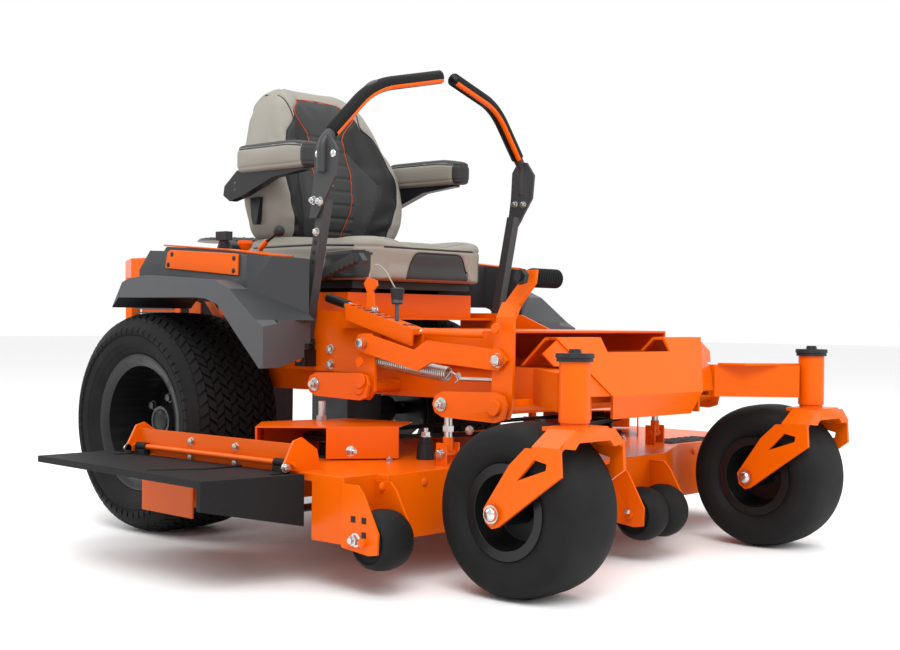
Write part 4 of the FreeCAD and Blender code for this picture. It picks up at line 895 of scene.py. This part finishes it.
def mirrored(profile):
    """A whole section from one half that ends on the middle plane."""
    return profile + [(-across, radius) for across, radius in reversed(profile[:-1])]


REAR_PROFILE = mirrored([
    (-106.8, 153), (-106.8, 170), (-112, 174), (-117, 181), (-118.6, 184), (-121.5, 186),
    (-123, 189), (-126, 193), (-127, 196), (-130.4, 199), (-131.5, 206), (-132.6, 215),
    (-131, 217), (-132.6, 219), (-132.6, 232), (-131, 238), (-126, 248), (-118, 256),
    (-100, 262), (-60, 265), (0, 266)])
CASTER_PROFILE = mirrored([
    (-69.6, 88), (-69.6, 95), (-75, 99), (-80, 104), (-83, 109), (-84.6, 112), (-86, 118),
    (-87, 128), (-86.6, 136), (-85, 139), (-84.5, 146), (-80.5, 153.5), (-73, 160.5),
    (-62, 165), (-40, 168.8), (-14, 169.9), (0, 170)])
TREAD_LINE = ((0, 274), (60, 273), (88, 271), (106, 266.5), (120, 257), (129.5, 244), (133, 230))
TREAD_ROWS, TREAD_STEPS = 13, 60
TREAD_PITCH = 21.2
TREAD_SLANT = 7 / 274
TREAD_HALF_WIDTH = 9.3
TREAD_HALF_TURN = 0.04176
TREAD_DEPTH = 9.5


def tread(centre, side):
    """Rows of small slanted blocks, row by row turned the other way."""
    verts, faces = [], []
    for row in range(TREAD_ROWS):
        middle = (row - (TREAD_ROWS - 1) / 2) * TREAD_PITCH
        odd = row % 2
        slant = TREAD_SLANT if odd else -TREAD_SLANT
        for step in range(TREAD_STEPS):
            turn = 2 * math.pi * (step + 0.5 * odd) / TREAD_STEPS
            first = len(verts)
            for top in (False, True):
                for u, w in ((-1, -1), (1, -1), (1, 1), (-1, 1)):
                    across = middle + u * TREAD_HALF_WIDTH
                    bend = turn + w * TREAD_HALF_TURN + u * slant
                    level = between(TREAD_LINE, abs(across))
                    if top:
                        bend -= w * 0.004
                    else:
                        level -= TREAD_DEPTH
                        across *= 0.99
                    verts.append((centre[0] + side * across, centre[1] + level * math.cos(bend),
                                  centre[2] + level * math.sin(bend)))
            for face in ((0, 1, 2, 3), (4, 5, 6, 7), (0, 1, 5, 4), (1, 2, 6, 5), (2, 3, 7, 6),
                         (3, 0, 4, 7)):
                faces.append([first + index for index in face])
    return verts, faces


HUB_FACE_X = REAR_WHEEL_X + 30
half_step = Matrix.Rotation(math.pi / 5, 3, "X")
for tag, side in SIDES:
    body = "rear_wheel_" + tag
    tyre_piece("rear_tyre_rubber_" + tag, "rear_tyre_" + tag, body,
               (side * REAR_WHEEL_X, 0, REAR_AXLE_Z), REAR_PROFILE, side, tread)
    hub = Vector((side * HUB_FACE_X, 0, REAR_AXLE_Z))
    cap = hub + Vector((side * 16, 0, 0))
    for spot in circle(hub, half_step @ Vector((0, 1, 0)), half_step @ Vector(UP), 62, 5):
        bolt(body, spot, (side, 0, 0), 10, "steel")
    rod(body, "steel", hub, cap, 40, 37, sides=40)
    dome(body, "black", cap, (side, 0, 0), 30, 9, sides=32)
    rod(body, "rubber", (side * (REAR_WHEEL_X + 78), 0, REAR_AXLE_Z - 118),
        (side * (REAR_WHEEL_X + 92), 0, REAR_AXLE_Z - 112), 4, 3)
    tyre_piece("caster_tyre_rubber_" + tag, "caster_tyre_" + tag, "caster_wheel_" + tag,
               (side * (CASTER_X + 0.1), *CASTER_AXLE), CASTER_PROFILE, side, sides=96)

# Anti-scalp rollers: barrel-shaped, with a hub hole at each end.
for tag, parts in (("right", 1), ("centre", 2), ("left", 1)):
    low, high = [in_mm(corner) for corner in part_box("roller_" + tag)]
    middle = (low + high) / 2
    wide = (high.x - low.x) / parts
    for part in range(parts):
        half = wide / 2 - (3 if parts > 1 else 0)
        profile = mirrored([(-half, 12), (-half, 30), (-half + 5, 34), (-half + 5, 40),
                            (-half, 44), (-half + 2, 48), (-half * 0.75, 54),
                            (-half * 0.45, 58), (0, 60)])
        centre = (low.x + wide * (part + 0.5), middle.y, middle.z)
        wheel = outward(new_object("roller_%s_%d" % (tag, part), *lathe(profile, centre, 72)))
        finish_object(wheel, "rubber", "roller_" + tag, angle=40, nodes=("roller_" + tag,))

# Helper spring: close coils with a hooked end.
COILS, COIL_STEPS = 36, 12
start, end = Vector((SPRING_X, -668, 444)), Vector((SPRING_X, -886, 419.5))
_, u, v = frame_of(end - start)
ring = circle(Vector(), u, v, 15, COIL_STEPS)
count = COILS * COIL_STEPS
coil = [start.lerp(end, step / count) + ring[step % COIL_STEPS] for step in range(count + 1)]
coil += [Vector((SPRING_X, y, z)) for y, z in ((-893, 426), (-908, 419), (-915, 408),
                                               (-906, 402))]
spring = new_object("helper_spring", *sweep(coil, 2.2, 8))
finish_object(spring, "spring", "chassis", angle=70, nodes=("lift_spring",))

# ------------ levers and grips

GRIP_RADIUS, GRIP_END_RADIUS = 17, 14.5
STRIPE_SINK = 10.6
PLATE_X = 363
POST_X = 355.6
for tag, side in SIDES:
    body = "control_lever_" + tag
    outside = (side, 0, 0)
    bend = rounded([(side * 366, -478, 950), (side * 225, -498, 1099), (side * 23, -534, 1143)],
                   60, 10)
    start = bend[0] + (bend[1] - bend[0]).normalized() * 36
    path = [start, start.lerp(bend[1], 0.03), *bend[1:-1], bend[-2].lerp(bend[-1], 0.985),
            bend[-1]]
    tips = (0, len(path) - 1)
    verts, faces = sweep(path, lambda k: GRIP_END_RADIUS if k in tips else GRIP_RADIUS, 28)
    grip = new_object("lever_rubber_" + tag, verts, faces)
    finish_object(grip, "rubber", body, angle=50, nodes=("lever_grip_" + tag,))
    stripe = []
    for k, point in enumerate(path[1:-1]):
        axis = (path[k + 2] - path[k]).normalized()
        under = Vector((-side * 0.25, -0.75, -0.62))
        under = (under - axis * under.dot(axis)).normalized()
        stripe.append(point + under * STRIPE_SINK)
    tube(body, "orange", stripe, 8.2, sides=16)
    for y, z in ((-460, 924), (-512, 921)):
        dome(body, "chrome", (side * (PLATE_X - 0.2), y, z), outside, 10, 4)
    for y, z in ((-448, 815), (-470, 812)):
        bolt(body, (side * PLATE_X, y, z), outside, 8.5, "chrome", thread=5)
    bolt(body, (side * POST_X, -451, 741), outside, 8)
    for y, z in ((-446, 716), (-441, 692), (-437, 670)):
        rod(body, "carbon", (side * (POST_X - 0.3), y, z), (side * (POST_X + 0.6), y, z), 6)
    for y, z in ((-462, 854), (-492, 852)):
        bolt(body, (side * 356, y, z), (-side, 0, 0), 8)

# ------------ lift linkage hardware

for x, y, z, radius, look in ((-322.5, -469, 465, 9, "zinc"), (-322.5, -469, 428, 9, "zinc"),
                              (-342, -637, 557, 8, "chrome"), (-330, -534, 565, 7.5, "zinc"),
                              (-300, -894, 297, 8, "zinc")):
    bolt("chassis", (x, y, z), OUT, radius, look)
for body, y, z in (("rear_lift", REAR_HANGER_Y, 385), ("front_lift", FRONT_HANGER_Y, 358)):
    rod(body, "zinc", (-406, y, z), (-409, y, z), 15)
    bolt(body, (-409, y, z), OUT, 10, thread=5)
for body, y, z in (("rear_lift", -661, 398), ("front_lift", -1057, 358)):
    rod(body, "orange", (-410, y, z), (-413.5, y, z), 17, 15.5, sides=32)
for y, z in ((-655, 482), (-1056, 455)):
    bolt("lift_link", (-397, y, z), OUT, 12)
for body, y, z in (("rear_lift", -655, 440), ("front_lift", -1056, 520)):
    rod(body, "orange", (-405.5, y, z), (-409, y, z), 11, 10, sides=28)
rod("front_lift", "black", (-388, -1112, 625), (-400, -1112, 625), 17, 16, sides=6)
rod("front_lift", "black", (-400, -1112, 625), (-406, -1112, 625), 9)
bolt("deck", (-407, FRONT_HANGER_Y, 254), OUT, 9, "chrome")
bolt("deck", (-380, -510, 254), OUT, 9)
tube("lift_link", "orange", [(-398, -847, 511), (-399, -950, 508), (-399, -1020, 507.5)], 8)
rod("lift_link", "zinc", (-398, -838, 511.5), (-398, -850, 511), 5)

# The spring's eyebolt, and the stop pin with its knob and lanyard.
rod("chassis", "spring", (SPRING_X, -914, 423), (SPRING_X, -922, 411), 4)
rod("chassis", "zinc", (SPRING_X, -922, 411), (SPRING_X, -1040, 412), 4.5)
rod("chassis", "steel", (SPRING_X, -1040, 412), (SPRING_X, -1050, 412), 9, sides=6)
tube("height_pin", "wire", [(-345, -706, 604), (-348, -672, 652), (-348, -640, 664),
                            (-347, -622, 640), (-346, -620, 612)], 1.6, 26, 8)
PIN_X, PIN_Y = -345.8, -712
rod("height_pin", "plastic", (PIN_X, PIN_Y, 570), (PIN_X, PIN_Y, 604), 12, 16, sides=28)
dome("height_pin", "plastic", (PIN_X, PIN_Y, 604), (0, 0, 1), 16, 4)

# ------------ deck hardware

HINGE_X = -705.7
for y, z in ((-598, 231), (-444, 232)):
    for rise in (0, 34):
        bolt("deck", (HINGE_X, y, z + rise), OUT, 7)
bolt("deck", (-735, -790, 238), (0, -1, 0), 8)
bolt("deck", (-735, -245, 238), (0, 1, 0), 8)
bolt("deck", (-563, -795, 261), (0, -1, 0), 9, "chrome", thread=7)
for x in (-620, -500, -330, 330, 500, 640):
    dome("deck", "orange", (x, -950, 205), (0, -1, 0), 9, 4)
for x, y in ((-430, -777), (430, -777), (-560, -330), (560, -330), (-90, -900), (90, -900)):
    bolt("deck", (x, y, DECK_TOP), UP, 8, thread=5)
rod("deck", "plastic", (-331, -790, DECK_TOP), (-331, -790, 262), 20, 18)
rod("deck", "plastic", (-331, -790, 262), (-331, -790, 278), 13)
bolt("deck", (-331, -790, 278), UP, 11, "chrome", thread=9)
bolt("deck", (HINGE_X, -966, 111), OUT, 11, "chrome", thread=7)
for y, z in ((-988, 150), (-958, 150), (-988, 122)):
    block("deck", "carbon", (-706.6, y - 6, z - 6), (-705.4, y + 6, z + 6))
for side in (RIGHT, LEFT):
    bolt("deck", (side * 40, -1126, 117), (0, -0.2, 0.97), 7)
block("deck", "mat", (420, -935, DECK_TOP), (640, -860, DECK_TOP + 3))
for k in range(7):
    block("deck", "mat", (430 + k * 30, -930, DECK_TOP + 3), (444 + k * 30, -866, DECK_TOP + 5))

# ------------ casters, shroud louvres and console

for tag, side in SIDES:
    body = "caster_" + tag
    centre = (side * CASTER_X, CASTER_PIVOT_Y)
    rod(body, "plastic", (*centre, 467.6), (*centre, 476), 37.5, 36.5, sides=48)
    rod(body, "plastic", (*centre, 476), (*centre, 484), 13, 11, sides=24)
    for way in (-1, 1):
        end = side * CASTER_X + way * 113.8
        dome(body, "chrome", (end - way * 3, *CASTER_AXLE), (way, 0, 0), 14, 9)
        rod(body, "zinc", (end - way * 5, *CASTER_AXLE), (end - way * 2.5, *CASTER_AXLE), 18)
    for y, z in ((-101, 690), (-86, 665), (-343, 675), (-342, 646)):
        dome("chassis", "plastic", (side * 516.4, y, z), (side, 0, 0), 6, 3)
for x in (-165, -80, 80, 165):
    for z in (640, 658):
        block("chassis", "engine", (x - 30, 148, z), (x + 30, 151, z + 6))
rod("pto_knob", "orange", (-372, -205, 706), (-372, -205, 719), 11, 18)
rod("throttle", "orange", (-372, -262, 704), (-371.4, -287, 724), 6.5)
block("ignition_key", "plastic", (-391, -150, 730), (-369, -110, 752))

# ------------ engine

FAN_Y = 290
rod("chassis", "engine", (0, FAN_Y, 756), (0, FAN_Y, 764), 120, 112, sides=64)
for k in range(24):
    block("chassis", "steel", (-1.5, FAN_Y + 30, 763), (1.5, FAN_Y + 104, 766),
          Matrix.Rotation(2 * math.pi * k / 24, 3, "Z"), (0, FAN_Y, 764))
for k in range(9):
    z = 462 + 12 * k
    for side in (RIGHT, LEFT):
        block("chassis", "alloy", (side * 270 - 24, 200, z), (side * 270 + 18, 380, z + 4))
for k in range(7):
    block("chassis", "alloy", (-236, 430, 460 + 12 * k), (236, 437, 464 + 12 * k))
for side in (RIGHT, LEFT):
    rod("chassis", "engine", (side * 150, 168, 690), (side * 150, 148, 690), 22, 20)
    tube("chassis", "steel", [(side * 110, 470, 545), (side * 110, 452, 552),
                              (side * 150, 420, 552)], 14, 18)
    hub = Vector((side * (REAR_WHEEL_X - 98), 0, 290))
    for spot in circle(hub, Vector((0, 1, 0)), Vector(UP), 60, 6):
        bolt("chassis", spot, (side, 0, 0), 6, washer=False)

# ------------ seat and armrest details

for tag, side in SIDES:
    for z in (886, 868):
        dome("armrest_" + tag, "steel", (side * 285.5, -52, z), (side, 0, 0), 4, 2)
    plate("backrest", "black", [(-104, 850), (-62, 850), (-66, 800), (-74, 780), (-88, 780)],
          side * 236 - 7, side * 236 + 7)
plate("seat", "grey", [(-352, 640), (-372, 634), (-500, 672), (-518, 664), (-524, 676),
                       (-508, 694), (-486, 694), (-365, 652)], -274, -258)
for k in range(7):
    y, z = -400 - 17 * k, 650.5 + 5.2 * k
    rod("seat", "grey", (-276, y, z), (-257, y, z), 9.5, 10.5, sides=16)
rod("seat", "grey", (-258, -372, 646), (-243, -372, 646), 15)
for k in range(14):
    x = -355 + 5.6 * k
    rod("front_lift", "rubber", (x, -1110, 624), (x + 3, -1110, 624), 20)

# ------------ small frame and deck pieces

# Plates between each rear tyre and the engine, then the strut and the flag tab.
for side in (RIGHT, LEFT):
    for outline in ([(175, 470), (352, 470), (352, 602), (175, 588)],
                    [(84, 470), (134, 470), (134, 584), (84, 574)],
                    [(-45, 500), (-24, 490), (66, 578), (36, 578)]):
        plate("chassis", "orange", outline, side * 288 - 2, side * 288 + 2)
tube("chassis", "black", [(-314, -448, 586), (-314, -520, 568)], 11, sides=20)
rod("chassis", "zinc", (-314, -520, 568), (-314, -532, 565), 9, sides=20)
plate("chassis", "orange", [(-642, 560), (-614, 560), (-618, 596), (-606, 618), (-618, 632),
                            (-648, 624), (-650, 612), (-636, 600)], -349, -345)

# Slots along the sloping height channel, but for the place of the pin, drawn as thin black pads:
# painted shade standing in for the openings.
CHANNEL_SLOPE = 14.3
incline = Matrix.Rotation(math.radians(CHANNEL_SLOPE), 3, "X")
for k in range(9):
    y = -580 - 21 * k
    z = 572 + (y + 560) * 0.2545
    if abs(y - PIN_Y) > 22:
        for x in (-356, -336):
            block("chassis", "plastic", (x - 6, y - 5, z - 0.5), (x + 6, y + 5, z + 0.7),
                  incline, (x, y, z))
tube("chute", "pebble", [(-716, -628, 228), (-800, -624, 227), (-905, -560, 226)], 2.6, 10, 8)
for y in (-770, -620, -470, -320):
    dome("deck", "orange", (-640, y, DECK_TOP), UP, 8, 3)
for side in (RIGHT, LEFT):
    for x, y in ((290, -30), (290, 30), (310, 0)):
        dome("chassis", "steel", (side * x, y, 379), UP, 9, 4)
    for y in (-150, -260):
        bolt("chassis", (side * 236, y, 437), UP, 8)
for x in (-70, 70):
    bolt("chassis", (x, 426, 414), (0, 1, 0), 9)
for k in range(6):
    block("chassis", "steel", (-84 + 28 * k, 541, 470), (-74 + 28 * k, 543, 540))
for x in (-150, 150):
    tube("chassis", "rubber", [(x, 40, 330), (x * 1.3, 90, 372), (x * 1.1, 150, 395)], 8, 30)
for side in (RIGHT, LEFT):
    for y in (REAR_HANGER_Y, FRONT_HANGER_Y):
        rod("deck", "zinc", (side * HANGER_X, y, 268), (side * HANGER_X, y, 345), 8.8, sides=20)
        rod("deck", "zinc", (side * HANGER_X, y, 300), (side * HANGER_X, y, 312), 13, sides=6)

trim.flush()
